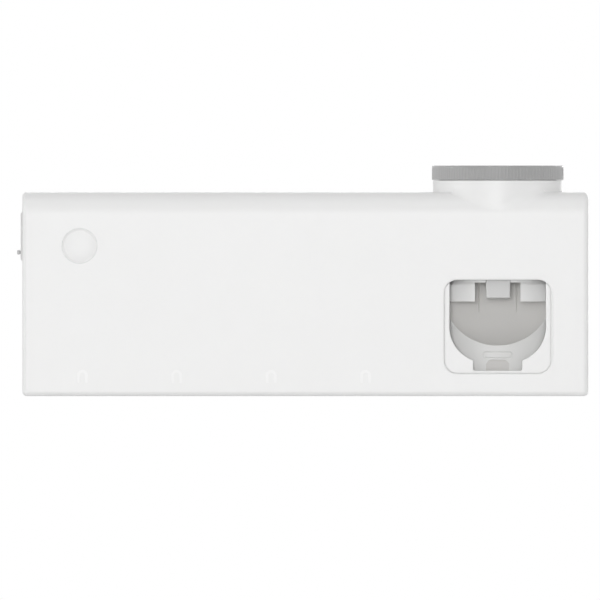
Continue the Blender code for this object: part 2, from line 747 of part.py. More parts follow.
def shell_cuts(bench, shell):
    """Every hole in the housing."""
    bore_low = INNER_TOP_Z - TOP_FRONT_RADIUS
    bore_top = NECK_TOP_Z + OVERRUN
    cut(bench, shell, upright("bore", BORE_RADIUS, DISPENSER_X, DISPENSER_Y, bore_low, bore_top, ROUND_STEPS))
    window = soft_box(
        "window",
        (DISPENSER_X - WINDOW_HALF, FRONT_Y - OVERRUN, WINDOW_LOW_Z),
        (DISPENSER_X + WINDOW_HALF, INNER_FRONT_Y + SINK, WINDOW_TOP_Z),
        WINDOW_CORNER,
        TOP_STEPS,
        along=1,
    )
    cut(bench, shell, window)
    hole_radius = BUTTON_RADIUS + CLEARANCE
    hole_back = INNER_FRONT_Y + GUIDE_DEPTH + OVERRUN
    cut(bench, shell, fore_aft("button_hole", hole_radius, BUTTON_X, BUTTON_Z, FRONT_Y - OVERRUN, hole_back))
    for x in port_places():
        cut(bench, shell, upright("port", PORT_RADIUS, x, PORT_Y, BOTTOM_Z - OVERRUN, INNER_BOTTOM_Z + SINK))
    plate_y = SWITCH_PLATE_DEPTH / 2 + CLEARANCE
    plate_z = SWITCH_PLATE_HEIGHT / 2 + CLEARANCE
    side_hole = box(
        "side_hole",
        (LEFT_X - OVERRUN, SWITCH_PLATE_Y - plate_y, SWITCH_PLATE_Z - plate_z),
        (INNER_LEFT_X + SINK, SWITCH_PLATE_Y + plate_y, SWITCH_PLATE_Z + plate_z),
    )
    cut(bench, shell, side_hole)
    pilot = SCREW_RADIUS + CLEARANCE
    for x, z in boss_places():
        front = SHELL_BACK_Y - SCREW_LENGTH
        cut(bench, shell, fore_aft("boss_hole", pilot, x, z, front, SHELL_BACK_Y + OVERRUN, SCREW_STEPS))
    for x, z in board_post_places():
        back = INNER_FRONT_Y + BOARD_POST_LENGTH
        front = back - BOARD_SCREW_LENGTH
        cut(bench, shell, fore_aft("post_hole", pilot, x, z, front, back + OVERRUN, SCREW_STEPS))


def rear_cover(bench):
    """Back plate with its lip, the recess for the bracket, the hook slots and the screw holes."""
    cover = soft_box(
        "rear_cover", (LEFT_X, COVER_FRONT_Y, BOTTOM_Z), (RIGHT_X, COVER_BACK_Y, TOP_Z), EDGE_RADIUS, along=1
    )
    rim = SHELL_WALL + CLEARANCE
    lip = box(
        "lip",
        (LEFT_X + rim, LIP_FRONT_Y, BOTTOM_Z + rim),
        (RIGHT_X - rim, COVER_FRONT_Y + SINK, TOP_Z - rim),
    )
    inside = rim + LIP_WALL
    lip_inside = box(
        "lip_inside",
        (LEFT_X + inside, LIP_FRONT_Y - OVERRUN, BOTTOM_Z + inside),
        (RIGHT_X - inside, COVER_FRONT_Y + OVERRUN, TOP_Z - inside),
    )
    cut(bench, lip, lip_inside)
    half = BRACKET_WIDTH / 2 + CLEARANCE
    top = BRACKET_HEIGHT / 2 + CLEARANCE
    low = -(BRACKET_HEIGHT / 2 + HANG_LIFT + CLEARANCE)
    tray = soft_box(
        "tray",
        (-half - RECESS_WALL, COVER_FLOOR_Y, low - RECESS_WALL),
        (half + RECESS_WALL, COVER_FRONT_Y + SINK, top + RECESS_WALL),
        BRACKET_CORNER,
        along=1,
    )
    join(bench, cover, lip, tray)
    recess = soft_box(
        "recess", (-half, RECESS_Y, low), (half, COVER_BACK_Y + OVERRUN, top), BRACKET_CORNER, along=1
    )
    cut(bench, cover, recess)
    slot_half = HOOK_WIDTH / 2 + CLEARANCE + CLEARANCE
    for x in (-HOOK_SPACING / 2, HOOK_SPACING / 2):
        slot = box(
            "hook_slot",
            (x - slot_half, COVER_FLOOR_Y - OVERRUN, -HOOK_DROP - HANG_LIFT - CLEARANCE),
            (x + slot_half, RECESS_Y + OVERRUN, -HOOK_DROP + HOOK_STEM + CLEARANCE),
        )
        cut(bench, cover, slot)
    for x, z in boss_places():
        hole = SCREW_RADIUS + CLEARANCE
        back = COVER_BACK_Y + OVERRUN
        front = COVER_FRONT_Y - OVERRUN
        cut(bench, cover, fore_aft("cover_hole", hole, x, z, front, back, SCREW_STEPS))
        seat = COVER_BACK_Y - SCREW_HEAD_HEIGHT - CLEARANCE
        head = SCREW_HEAD_RADIUS + CLEARANCE
        cut(bench, cover, fore_aft("head_seat", head, x, z, seat, back, SCREW_STEPS))
    bench.part(cover, "rear_cover", WHITE_PLASTIC, "housing")


def screw(bench, name, x, z, head_back, length, frame):
    """A pan screw along Y, its slotted head at the back."""
    profile = [
        (0, SCREW_HEAD_HEIGHT),
        (SCREW_HEAD_RADIUS, SCREW_HEAD_HEIGHT),
        (SCREW_HEAD_RADIUS, 0),
        (SCREW_RADIUS, 0),
        (SCREW_RADIUS, SCREW_RADIUS - length),
        (0, -length),
    ]
    turn_back = Euler((-math.pi / 2, 0, 0))
    seat = head_back - SCREW_HEAD_HEIGHT
    body = turned(name, profile, (x, seat, z), turn_back, SCREW_STEPS)
    slot = box(
        "screw_slot",
        (x - SCREW_SLOT_WIDTH / 2, head_back - SCREW_SLOT_DEPTH, z - SCREW_HEAD_RADIUS - OVERRUN),
        (x + SCREW_SLOT_WIDTH / 2, head_back + OVERRUN, z + SCREW_HEAD_RADIUS + OVERRUN),
    )
    cut(bench, body, slot)
    bench.part(body, name, STEEL, frame)


def screws(bench):
    for index, (x, z) in enumerate(boss_places(), start=1):
        length = SCREW_LENGTH - CLEARANCE
        screw(bench, f"cover_screw_{index}", x, z, COVER_BACK_Y, length, "housing")
    for index, (x, z) in enumerate(board_post_places(), start=1):
        back = BOARD_BACK_Y + CLEARANCE + SCREW_HEAD_HEIGHT
        screw(bench, f"board_screw_{index}", x, z, back, BOARD_SCREW_LENGTH, "housing")


def wall_bracket(bench):
    """Plate with two hooks, and the adhesive pad that holds it to the wall."""
    half = BRACKET_WIDTH / 2
    plate = soft_box(
        "wall_bracket",
        (-half, BRACKET_FRONT_Y, -BRACKET_HEIGHT / 2),
        (half, BRACKET_BACK_Y, BRACKET_HEIGHT / 2),
        BRACKET_CORNER,
        along=1,
    )
    low = -HOOK_DROP
    side = [
        (BRACKET_FRONT_Y + SINK, low),
        (BRACKET_FRONT_Y + SINK, low + HOOK_STEM),
        (HOOK_BACK_Y, low + HOOK_STEM),
        (HOOK_BACK_Y, low + HOOK_LENGTH),
        (HOOK_FRONT_Y, low + HOOK_LENGTH),
        (HOOK_FRONT_Y, low),
    ]
    for x in (-HOOK_SPACING / 2, HOOK_SPACING / 2):
        join(bench, plate, prism("hook", side, (x, 0, 0), HOOK_WIDTH, SIDE))
    bench.part(plate, "wall_bracket", WHITE_PLASTIC, "wall")
    pad = soft_box(
        "adhesive_pad",
        (-PAD_WIDTH / 2, -PAD_THICKNESS, -PAD_HEIGHT / 2),
        (PAD_WIDTH / 2, 0, PAD_HEIGHT / 2),
        BRACKET_CORNER,
        along=1,
    )
    bench.part(pad, "adhesive_pad", FOAM, "wall")


def window_bezel(bench):
    """Inset frame in the window: U-shaped cut, notch below it and a flange behind the wall."""
    half = WINDOW_HALF - CLEARANCE
    front = FRONT_Y + BEZEL_RECESS
    back = front + BEZEL_PLATE
    bezel = soft_box(
        "window_bezel",
        (DISPENSER_X - half, front, WINDOW_LOW_Z + CLEARANCE),
        (DISPENSER_X + half, back + SINK, WINDOW_TOP_Z - CLEARANCE),
        WINDOW_CORNER - CLEARANCE,
        TOP_STEPS,
        along=1,
    )
    wide = WINDOW_HALF + BEZEL_FLANGE_WIDTH
    flange = soft_box(
        "bezel_flange",
        (DISPENSER_X - wide, INNER_FRONT_Y + CLEARANCE, WINDOW_LOW_Z - BEZEL_FLANGE_WIDTH),
        (DISPENSER_X + wide, INNER_FRONT_Y + CLEARANCE + BEZEL_FLANGE, WINDOW_TOP_Z),
        WINDOW_CORNER,
        along=1,
    )
    join(bench, bezel, flange)
    cut(bench, bezel, bezel_opening(), bezel_notch())
    cut(
        bench,
        bezel,
        upright(
            "sleeve_way",
            BORE_RADIUS + CLEARANCE,
            DISPENSER_X,
            DISPENSER_Y,
            WINDOW_LOW_Z - BEZEL_FLANGE_WIDTH - OVERRUN,
            WINDOW_TOP_Z + OVERRUN,
            ROUND_STEPS,
        ),
    )
    bench.part(bezel, "window_bezel", WHITE_PLASTIC, "housing")


def bezel_opening():
    """The U: straight sides, a corner arc each side and a wide arc along the bottom."""
    half = WINDOW_HALF - CLEARANCE - BEZEL_SIDE
    wide_z = WINDOW_LOW_Z + BEZEL_ARC_ABOVE_WINDOW + BEZEL_ARC_RADIUS
    reach = BEZEL_ARC_RADIUS - BEZEL_CORNER_RADIUS
    inset = half - BEZEL_CORNER_RADIUS
    corner_z = wide_z - math.sqrt(reach**2 - inset**2)
    lean = math.degrees(math.atan2(wide_z - corner_z, inset))
    top = WINDOW_TOP_Z + OVERRUN
    radii = (BEZEL_CORNER_RADIUS, BEZEL_CORNER_RADIUS)
    wide_radii = (BEZEL_ARC_RADIUS, BEZEL_ARC_RADIUS)
    points = [(-half, top)]
    points += arc((-inset, corner_z), radii, 180, 180 + lean)
    points += arc((0, wide_z), wide_radii, 180 + lean, 360 - lean)[1:-1]
    points += arc((inset, corner_z), radii, 360 - lean, 360)
    points += [(half, top)]
    depth = BEZEL_PLATE + BEZEL_FLANGE + OVERRUN + OVERRUN
    return prism("bezel_opening", points, (DISPENSER_X, INNER_FRONT_Y, 0), depth, FRONT)


def bezel_notch():
    """The square notch at the bottom of the U."""
    return soft_box(
        "bezel_notch",
        (DISPENSER_X - NOTCH_HALF, FRONT_Y - OVERRUN, WINDOW_LOW_Z + BEZEL_BOTTOM_BAR + CLEARANCE),
        (DISPENSER_X + NOTCH_HALF, INNER_FRONT_Y + OVERRUN, WINDOW_TOP_Z - BLOCK_DROP),
        NOTCH_CORNER,
        along=1,
    )


def switch_group(bench):
    """Side plate, slide knob, switch body and charging socket."""
    half_y = SWITCH_PLATE_DEPTH / 2
    half_z = SWITCH_PLATE_HEIGHT / 2
    ramp = SWITCH_PLATE_RAMP
    plan = [
        (half_z, 0),
        (half_z, SWITCH_FLANGE_X - LEFT_X + SINK),
        (-half_z, SWITCH_FLANGE_X - LEFT_X + SINK),
        (-half_z, 0),
        (-half_z + ramp, -SWITCH_PLATE_PROUD),
        (half_z - ramp, -SWITCH_PLATE_PROUD),
    ]
    outline = [(x, z) for z, x in plan]
    plate = prism("switch_plate", outline, (LEFT_X, SWITCH_PLATE_Y, SWITCH_PLATE_Z), SWITCH_PLATE_DEPTH, FRONT)
    wide_y = half_y + SWITCH_FLANGE_WIDTH
    wide_z = half_z + SWITCH_FLANGE_WIDTH
    flange = box(
        "switch_flange",
        (SWITCH_FLANGE_X, SWITCH_PLATE_Y - wide_y, SWITCH_PLATE_Z - wide_z),
        (SWITCH_BACK_X, SWITCH_PLATE_Y + wide_y, SWITCH_PLATE_Z + wide_z),
    )
    join(bench, plate, flange)
    knob_y = KNOB_DEPTH / 2 + CLEARANCE
    slot = box(
        "knob_slot",
        (SWITCH_PLATE_X - OVERRUN, SWITCH_PLATE_Y - knob_y, KNOB_Z - KNOB_HEIGHT / 2 - CLEARANCE),
        (SWITCH_BACK_X + OVERRUN, SWITCH_PLATE_Y + knob_y, KNOB_Z + KNOB_HEIGHT / 2 + KNOB_TRAVEL + CLEARANCE),
    )
    inlet = soft_box(
        "inlet",
        (SWITCH_PLATE_X - OVERRUN, SWITCH_PLATE_Y - INLET_DEPTH / 2, INLET_Z - INLET_WIDTH / 2),
        (SWITCH_BACK_X + OVERRUN, SWITCH_PLATE_Y + INLET_DEPTH / 2, INLET_Z + INLET_WIDTH / 2),
        INLET_DEPTH / 2 - CLEARANCE,
        along=0,
    )
    cut(bench, plate, slot, inlet)
    bench.part(plate, "switch_plate", WHITE_PLASTIC, "housing")
    switch_insides(bench)


def switch_insides(bench):
    """What moves in, and stands behind, the side plate."""
    tip_x = SWITCH_PLATE_X - KNOB_PROUD
    head_x = SWITCH_PLATE_X - KNOB_HEAD_GAP
    knob = soft_box(
        "power_switch_knob",
        (tip_x, SWITCH_PLATE_Y - KNOB_HEAD_DEPTH / 2, KNOB_Z - KNOB_HEIGHT / 2),
        (head_x, SWITCH_PLATE_Y + KNOB_HEAD_DEPTH / 2, KNOB_Z + KNOB_HEIGHT / 2),
        CLEARANCE,
    )
    stem = box(
        "knob_stem",
        (head_x - SINK, SWITCH_PLATE_Y - KNOB_DEPTH / 2, KNOB_Z - KNOB_HEIGHT / 2 + CLEARANCE),
        (SWITCH_BACK_X, SWITCH_PLATE_Y + KNOB_DEPTH / 2, KNOB_Z + KNOB_HEIGHT / 2 - CLEARANCE),
    )
    join(bench, knob, stem)
    bench.part(knob, "power_switch_knob", DARK_PLASTIC, "power_switch_track")
    body_low = KNOB_Z + KNOB_TRAVEL / 2 - SWITCH_BODY_HEIGHT / 2
    body = box(
        "switch_body",
        (SWITCH_BACK_X + CLEARANCE, SWITCH_PLATE_Y - SWITCH_BODY_DEPTH / 2, body_low),
        (SWITCH_BACK_X + SWITCH_BODY_WIDTH, SWITCH_PLATE_Y + SWITCH_BODY_DEPTH / 2, body_low + SWITCH_BODY_HEIGHT),
    )
    bench.part(body, "switch_body", STEEL, "housing")
    socket_left = SWITCH_BACK_X + CLEARANCE
    half_y = INLET_DEPTH / 2
    half_z = INLET_WIDTH / 2
    socket = soft_box(
        "charge_socket",
        (socket_left, SWITCH_PLATE_Y - half_y, INLET_Z - half_z),
        (socket_left + SOCKET_LENGTH, SWITCH_PLATE_Y + half_y, INLET_Z + half_z),
        half_y - CLEARANCE,
        along=0,
    )
    hollow = soft_box(
        "socket_hollow",
        (socket_left - OVERRUN, SWITCH_PLATE_Y - half_y + SOCKET_WALL, INLET_Z - half_z + SOCKET_WALL),
        (socket_left + SOCKET_LENGTH - SOCKET_WALL, SWITCH_PLATE_Y + half_y - SOCKET_WALL, INLET_Z + half_z - SOCKET_WALL),
        half_y - SOCKET_WALL - CLEARANCE,
        along=0,
    )
    cut(bench, socket, hollow)
    bench.part(socket, "charge_socket", STEEL, "housing")


def start_button(bench):
    """Round cap with a fine groove, and the stem that reaches for the switch on the board."""
    cap_back = BUTTON_CAP
    profile = [
        (0, 0),
        (BUTTON_GROOVE_RADIUS - BUTTON_GROOVE, 0),
        (BUTTON_GROOVE_RADIUS, -BUTTON_GROOVE),
        (BUTTON_GROOVE_RADIUS + BUTTON_GROOVE, 0),
        (BUTTON_RADIUS - BUTTON_EDGE, 0),
        (BUTTON_RADIUS, -BUTTON_EDGE),
        (BUTTON_RADIUS, -cap_back),
        (BUTTON_STEM_RADIUS, -cap_back),
        (BUTTON_STEM_RADIUS, FRONT_Y - BUTTON_STEM_Y),
        (0, FRONT_Y - BUTTON_STEM_Y),
    ]
    cap = turned("start_button", profile, (BUTTON_X, FRONT_Y, BUTTON_Z), FRONT, ROUND_STEPS)
    bench.part(cap, "start_button", WHITE_PLASTIC, "start_button_track")


def electronics(bench):
    """Board, tact switch, battery with its cradle, and the lamp's driver."""
    right = BOARD_LEFT_X + BOARD_WIDTH
    board = box("circuit_board", (BOARD_LEFT_X, BOARD_FRONT_Y, BOARD_LOW_Z), (right, BOARD_BACK_Y, BOARD_TOP_Z))
    chip_x = BOARD_LEFT_X + CHIP_SIDE
    chip_z = (BOARD_LOW_Z + BOARD_TOP_Z) / 2
    chip = box(
        "board_chip",
        (chip_x, BOARD_BACK_Y - SINK, chip_z - CHIP_WIDTH / 2),
        (chip_x + CHIP_WIDTH, BOARD_BACK_Y + CHIP_HEIGHT, chip_z + CHIP_WIDTH / 2),
    )
    join(bench, board, chip)
    for x, z in board_post_places():
        hole = SCREW_RADIUS + CLEARANCE
        front = BOARD_FRONT_Y - OVERRUN
        cut(bench, board, fore_aft("board_hole", hole, x, z, front, BOARD_BACK_Y + OVERRUN, SCREW_STEPS))
    bench.part(board, "circuit_board", BOARD_GREEN, "housing")
    tact_switch(bench)
    battery(bench)
    lamp_driver(bench)


def tact_switch(bench):
    half = TACT_WIDTH / 2
    body = box(
        "tact_switch",
        (BUTTON_X - half, TACT_FRONT_Y, BUTTON_Z - half),
        (BUTTON_X + half, TACT_BACK_Y, BUTTON_Z + half),
    )
    pin = fore_aft("tact_pin", TACT_PIN_RADIUS, BUTTON_X, BUTTON_Z, TACT_PIN_Y, TACT_FRONT_Y + SINK, SCREW_STEPS)
    join(bench, body, pin)
    bench.part(body, "tact_switch", DARK_PLASTIC, "housing")


def battery(bench):
    """Round cell lying in a cradle on the chamber's shelf."""
    profile = [
        (0, BATTERY_LENGTH / 2 + BATTERY_TIP_LENGTH),
        (BATTERY_TIP_RADIUS, BATTERY_LENGTH / 2 + BATTERY_TIP_LENGTH),
        (BATTERY_TIP_RADIUS, BATTERY_LENGTH / 2),
        (BATTERY_RADIUS, BATTERY_LENGTH / 2),
        (BATTERY_RADIUS, -BATTERY_LENGTH / 2),
        (0, -BATTERY_LENGTH / 2),
    ]
    middle = BATTERY_LEFT_X + BATTERY_LENGTH / 2
    cell = turned("battery_cell", profile, (middle, BATTERY_Y, BATTERY_Z), SIDE, SMALL_STEPS)
    bench.part(cell, "battery_cell", CELL_WRAP, "housing")
    room = BATTERY_RADIUS + CLEARANCE
    wide = room + CRADLE_WALL
    floor_z = SHELF_TOP_Z + CLEARANCE
    left = BATTERY_LEFT_X - CLEARANCE - CRADLE_WALL
    right = BATTERY_LEFT_X + BATTERY_LENGTH + BATTERY_TIP_LENGTH + CLEARANCE + CRADLE_WALL
    cradle = box(
        "battery_cradle", (left, BATTERY_Y - wide, floor_z), (right, BATTERY_Y + wide, floor_z + CRADLE_HEIGHT)
    )
    trough = across("trough", room, BATTERY_Y, BATTERY_Z, left + CRADLE_WALL, right - CRADLE_WALL)
    cut(bench, cradle, trough)
    bench.part(cradle, "battery_cradle", DARK_PLASTIC, "housing")


def lamp_driver(bench):
    """Small board with its coil, flat on the shelf beside the battery."""
    left = BATTERY_LEFT_X + BATTERY_LENGTH + CRADLE_WALL + DRIVER_GAP
    floor_z = SHELF_TOP_Z + CLEARANCE
    half = DRIVER_DEPTH / 2
    board = box(
        "lamp_driver",
        (left, BATTERY_Y - half, floor_z),
        (left + DRIVER_WIDTH, BATTERY_Y + half, floor_z + BOARD_THICKNESS),
    )
    middle = left + DRIVER_WIDTH / 2
    coil_half = DRIVER_COIL_WIDTH / 2
    coil = box(
        "driver_coil",
        (middle - coil_half, BATTERY_Y - coil_half, floor_z + BOARD_THICKNESS - SINK),
        (middle + coil_half, BATTERY_Y + coil_half, floor_z + BOARD_THICKNESS + DRIVER_COIL_HEIGHT),
    )
    join(bench, board, coil)
    bench.part(board, "lamp_driver", BOARD_GREEN, "housing")


def chamber_liner(bench):
    """Bright hood over the brushes: shelf, back and two wings, open below and in front."""
    front = INNER_FRONT_Y + CLEARANCE
    low = INNER_BOTTOM_Z + CLEARANCE
    liner = box("chamber_liner", (LINER_LEFT_X, front, low), (LINER_RIGHT_X, LINER_BACK_Y, SHELF_TOP_Z))
    room = box(
        "liner_room",
        (LINER_LEFT_X + LINER_WALL, front - OVERRUN, low - OVERRUN),
        (LINER_RIGHT_X - LINER_WALL, LINER_INNER_Y, SHELF_TOP_Z - LINER_WALL),
    )
    cut(bench, liner, room)
    bench.part(liner, "chamber_liner", BRIGHT_METAL, "housing")


def lamp(bench):
    """Lamp tube, its two holders on the liner's back and the curved reflector between them."""
    half = LAMP_LENGTH / 2
    cap = half - LAMP_CAP_LENGTH
    profile = [
        (0, half),
        (LAMP_CAP_RADIUS, half),
        (LAMP_CAP_RADIUS, cap),
        (LAMP_RADIUS, cap),
        (LAMP_RADIUS, -cap),
        (LAMP_CAP_RADIUS, -cap),
        (LAMP_CAP_RADIUS, -half),
        (0, -half),
    ]
    tube = turned("uv_lamp_tube", profile, (LAMP_X, LAMP_Y, LAMP_Z), SIDE, SMALL_STEPS)
    bench.part(tube, "uv_lamp_tube", LAMP_GLASS, "housing")
    grip = LAMP_CAP_RADIUS + CLEARANCE
    back = LINER_INNER_Y - CLEARANCE
    for name, side in (("lamp_end_left", -1), ("lamp_end_right", 1)):
        near = LAMP_X + side * (half - HOLDER_LENGTH)
        far = LAMP_X + side * (half + LINER_WALL)
        holder = box(
            name,
            (min(near, far), LAMP_Y - HOLDER_FRONT, LAMP_Z - HOLDER_HEIGHT / 2),
            (max(near, far), back, LAMP_Z + HOLDER_HEIGHT / 2),
        )
        socket_end = LAMP_X + side * (half + CLEARANCE)
        start = near - side * OVERRUN
        cut(bench, holder, across("lamp_seat", grip, LAMP_Y, LAMP_Z, min(start, socket_end), max(start, socket_end)))
        bench.part(holder, name, DARK_PLASTIC, "housing")
    inner = REFLECTOR_RADIUS - REFLECTOR_WALL
    sheet = arc((0, 0), (REFLECTOR_RADIUS, REFLECTOR_RADIUS), -90, 90)
    sheet += arc((0, 0), (inner, inner), 90, -90)
    length = LAMP_LENGTH - HOLDER_LENGTH - HOLDER_LENGTH - CLEARANCE - CLEARANCE
    reflector = prism("lamp_reflector", sheet, (LAMP_X, LAMP_Y, LAMP_Z), length, SIDE)
    bench.part(reflector, "lamp_reflector", BRIGHT_METAL, "housing")


def port_grommets(bench):
    """Silicone ring in each port, with six petals round a centre hole."""
    outer = PORT_RADIUS - CLEARANCE
    inner = outer - GROMMET_WALL
    low = BOTTOM_Z + CLEARANCE
    seat = INNER_BOTTOM_Z + CLEARANCE
    top = seat + GROMMET_FLANGE_HEIGHT
    profile = [
        (GROMMET_FLANGE_RADIUS, top),
        (GROMMET_FLANGE_RADIUS, seat),
        (outer, seat),
        (outer, low),
        (PETAL_HOLE_RADIUS, low),
        (PETAL_HOLE_RADIUS, low + PETAL_THICKNESS),
        (inner, low + PETAL_THICKNESS),
        (inner, top),
    ]
    for index, x in enumerate(port_places(), start=1):
        ring = turned(f"port_grommet_{index}", profile, (x, PORT_Y, 0), TOP, SMALL_STEPS, closed=True)
        for slit in range(PETAL_SLITS):
            blade = box(
                "petal_slit",
                (-PETAL_SLIT_REACH, -PETAL_SLIT_WIDTH / 2, -OVERRUN),
                (PETAL_SLIT_REACH, PETAL_SLIT_WIDTH / 2, OVERRUN),
            )
            blade.location = (x, PORT_Y, low)
            blade.rotation_euler = (0, 0, math.pi * slit / PETAL_SLITS)
            cut(bench, ring, blade)
        bench.part(ring, f"port_grommet_{index}", SILICONE, "housing")


def grip_ring(bench):
    """Ribbed ring on the sleeve's top: ribs all round, a smooth rounded lip above them."""
    bm = bmesh.new()
    rib_top = RING_TOP_Z - RING_SHOULDER
    smooth_radius = RING_RADIUS - RING_RIB_DEPTH / 2
    levels = [
        (RING_LOW_Z, RING_RADIUS, RING_RIB_DEPTH),
        (rib_top, RING_RADIUS, RING_RIB_DEPTH),
        (RING_TOP_Z - RING_ROUND, smooth_radius, 0),
        (RING_TOP_Z, smooth_radius - RING_ROUND, 0),
    ]
    loops = []
    for height, radius, depth in levels:
        made = bmesh.ops.create_circle(bm, segments=2 * RING_RIBS, radius=radius)
        for index, vert in enumerate(made["verts"]):
            if depth and index % 2:
                vert.co.xy = vert.co.xy.normalized() * (radius - depth)
            vert.co.z = height
        loops.append(made["verts"])
    for lower, upper in zip(loops, loops[1:]):
        edges = [edge for edge in bm.edges if set(edge.verts) <= set(lower) or set(edge.verts) <= set(upper)]
        bmesh.ops.bridge_loops(bm, edges=edges)
    bmesh.ops.holes_fill(bm, edges=bm.edges)
    bmesh.ops.recalc_face_normals(bm, faces=bm.faces)
    ring = mesh_object("grip_ring", bm, (DISPENSER_X, DISPENSER_Y, 0), smooth=True)
    seat = SLEEVE_RADIUS + CLEARANCE
    step = SLEEVE_TOP_Z + CLEARANCE
    bore = [
        (0, RING_TOP_Z + OVERRUN),
        (WELL_RADIUS + RING_ROUND + OVERRUN, RING_TOP_Z + OVERRUN),
        (WELL_RADIUS, RING_TOP_Z - RING_ROUND),
        (WELL_RADIUS, step),
        (seat, step),
        (seat, RING_LOW_Z - OVERRUN),
        (0, RING_LOW_Z - OVERRUN),
    ]
    cut(bench, ring, turned("ring_bore", bore, (DISPENSER_X, DISPENSER_Y, 0)))
    bench.part(ring, "grip_ring", GREY_PLASTIC, "dispenser")


def module_sleeve(bench):
    """Round cup of the dispenser, cut away in front, with its ledge, bar and arched recess."""
    ledge_top = DECK_LOW_Z - CLEARANCE
    ledge_radius = WELL_RADIUS - LEDGE_WIDTH
    profile = [
        (0, SLEEVE_FLOOR_Z),
        (WELL_RADIUS, SLEEVE_FLOOR_Z),
        (WELL_RADIUS, ledge_top - LEDGE_HEIGHT - LEDGE_WIDTH),
        (ledge_radius, ledge_top - LEDGE_HEIGHT),
        (ledge_radius, ledge_top),
        (WELL_RADIUS, ledge_top),
        (WELL_RADIUS, SLEEVE_TOP_Z),
        (SLEEVE_RADIUS, SLEEVE_TOP_Z),
        (SLEEVE_RADIUS, SLEEVE_LOW_Z),
        (0, SLEEVE_LOW_Z),
    ]
    sleeve = turned("module_sleeve", profile, (DISPENSER_X, DISPENSER_Y, 0))
    join(bench, sleeve, latch_bar(bench))
    cut(bench, sleeve, sleeve_opening(ledge_top), arch_recess())
    bench.part(sleeve, "module_sleeve", CLOUD_PLASTIC, "dispenser")


def latch_bar(bench):
    """Low rounded bar on the cup's front, curved with its wall."""
    low = SLEEVE_FLOOR_Z + ARCH_ABOVE_FLOOR + ARCH_HEIGHT + BAR_ABOVE_ARCH
    inner = SLEEVE_RADIUS - SLEEVE_WALL / 2
    outer = SLEEVE_RADIUS + BAR_PROUD
    ring = [(outer, BAR_HEIGHT), (outer, -BAR_HEIGHT), (inner, -BAR_HEIGHT), (inner, BAR_HEIGHT)]
    middle = low + BAR_HEIGHT / 2
    band = turned("bar_band", ring, (DISPENSER_X, DISPENSER_Y, middle), steps=ROUND_STEPS, closed=True)
    end = BAR_HEIGHT / 2
    offset = BAR_WIDTH / 2 - end
    outline = arc((offset, 0), (end, end), -90, 90) + arc((-offset, 0), (end, end), 90, 270)
    depth = SLEEVE_RADIUS
    keep(bench, band, prism("bar_outline", outline, (DISPENSER_X, DISPENSER_Y - depth, middle), depth, FRONT))
    return band


def sleeve_opening(top):
    """The brush opening under the two blocks, and the nozzle's slot between them."""
    arc_radius = WELL_RADIUS + ARC_OVER_WELL
    centre_z = WINDOW_LOW_Z + OPENING_ABOVE_WINDOW + arc_radius
    half = WELL_RADIUS - OPENING_SIDE_GAP
    lean = math.degrees(math.acos(half / arc_radius))
    block_z = WINDOW_TOP_Z - BLOCK_DROP
    points = [(-half, block_z)]
    points += arc((0, centre_z), (arc_radius, arc_radius), 180 + lean, 360 - lean, ARC_STEPS + ARC_STEPS)
    points += [(half, block_z), (SLOT_HALF, block_z), (SLOT_HALF, top), (-SLOT_HALF, top), (-SLOT_HALF, block_z)]
    front = DISPENSER_Y - SLEEVE_RADIUS - OVERRUN
    back = DISPENSER_Y - OPENING_DEPTH_BACK
    return prism("sleeve_opening", points, (DISPENSER_X, (front + back) / 2, 0), back - front, FRONT)


def arch_recess():
    """Shallow arched recess low in the cup's front, flat in its floor and round at its shoulders."""
    low = SLEEVE_FLOOR_Z + ARCH_ABOVE_FLOOR
    half = ARCH_WIDTH / 2
    shoulder = (ARCH_CORNER, ARCH_CORNER)
    spring = ARCH_HEIGHT - ARCH_CORNER
    outline = [(-half, 0), (half, 0)]
    outline += arc((half - ARCH_CORNER, spring), shoulder, 0, 90)
    outline += arc((ARCH_CORNER - half, spring), shoulder, 90, 180)
    front = DISPENSER_Y - SLEEVE_RADIUS
    return prism("arch_recess", outline, (DISPENSER_X, front, low), ARCH_DEPTH + ARCH_DEPTH, FRONT)


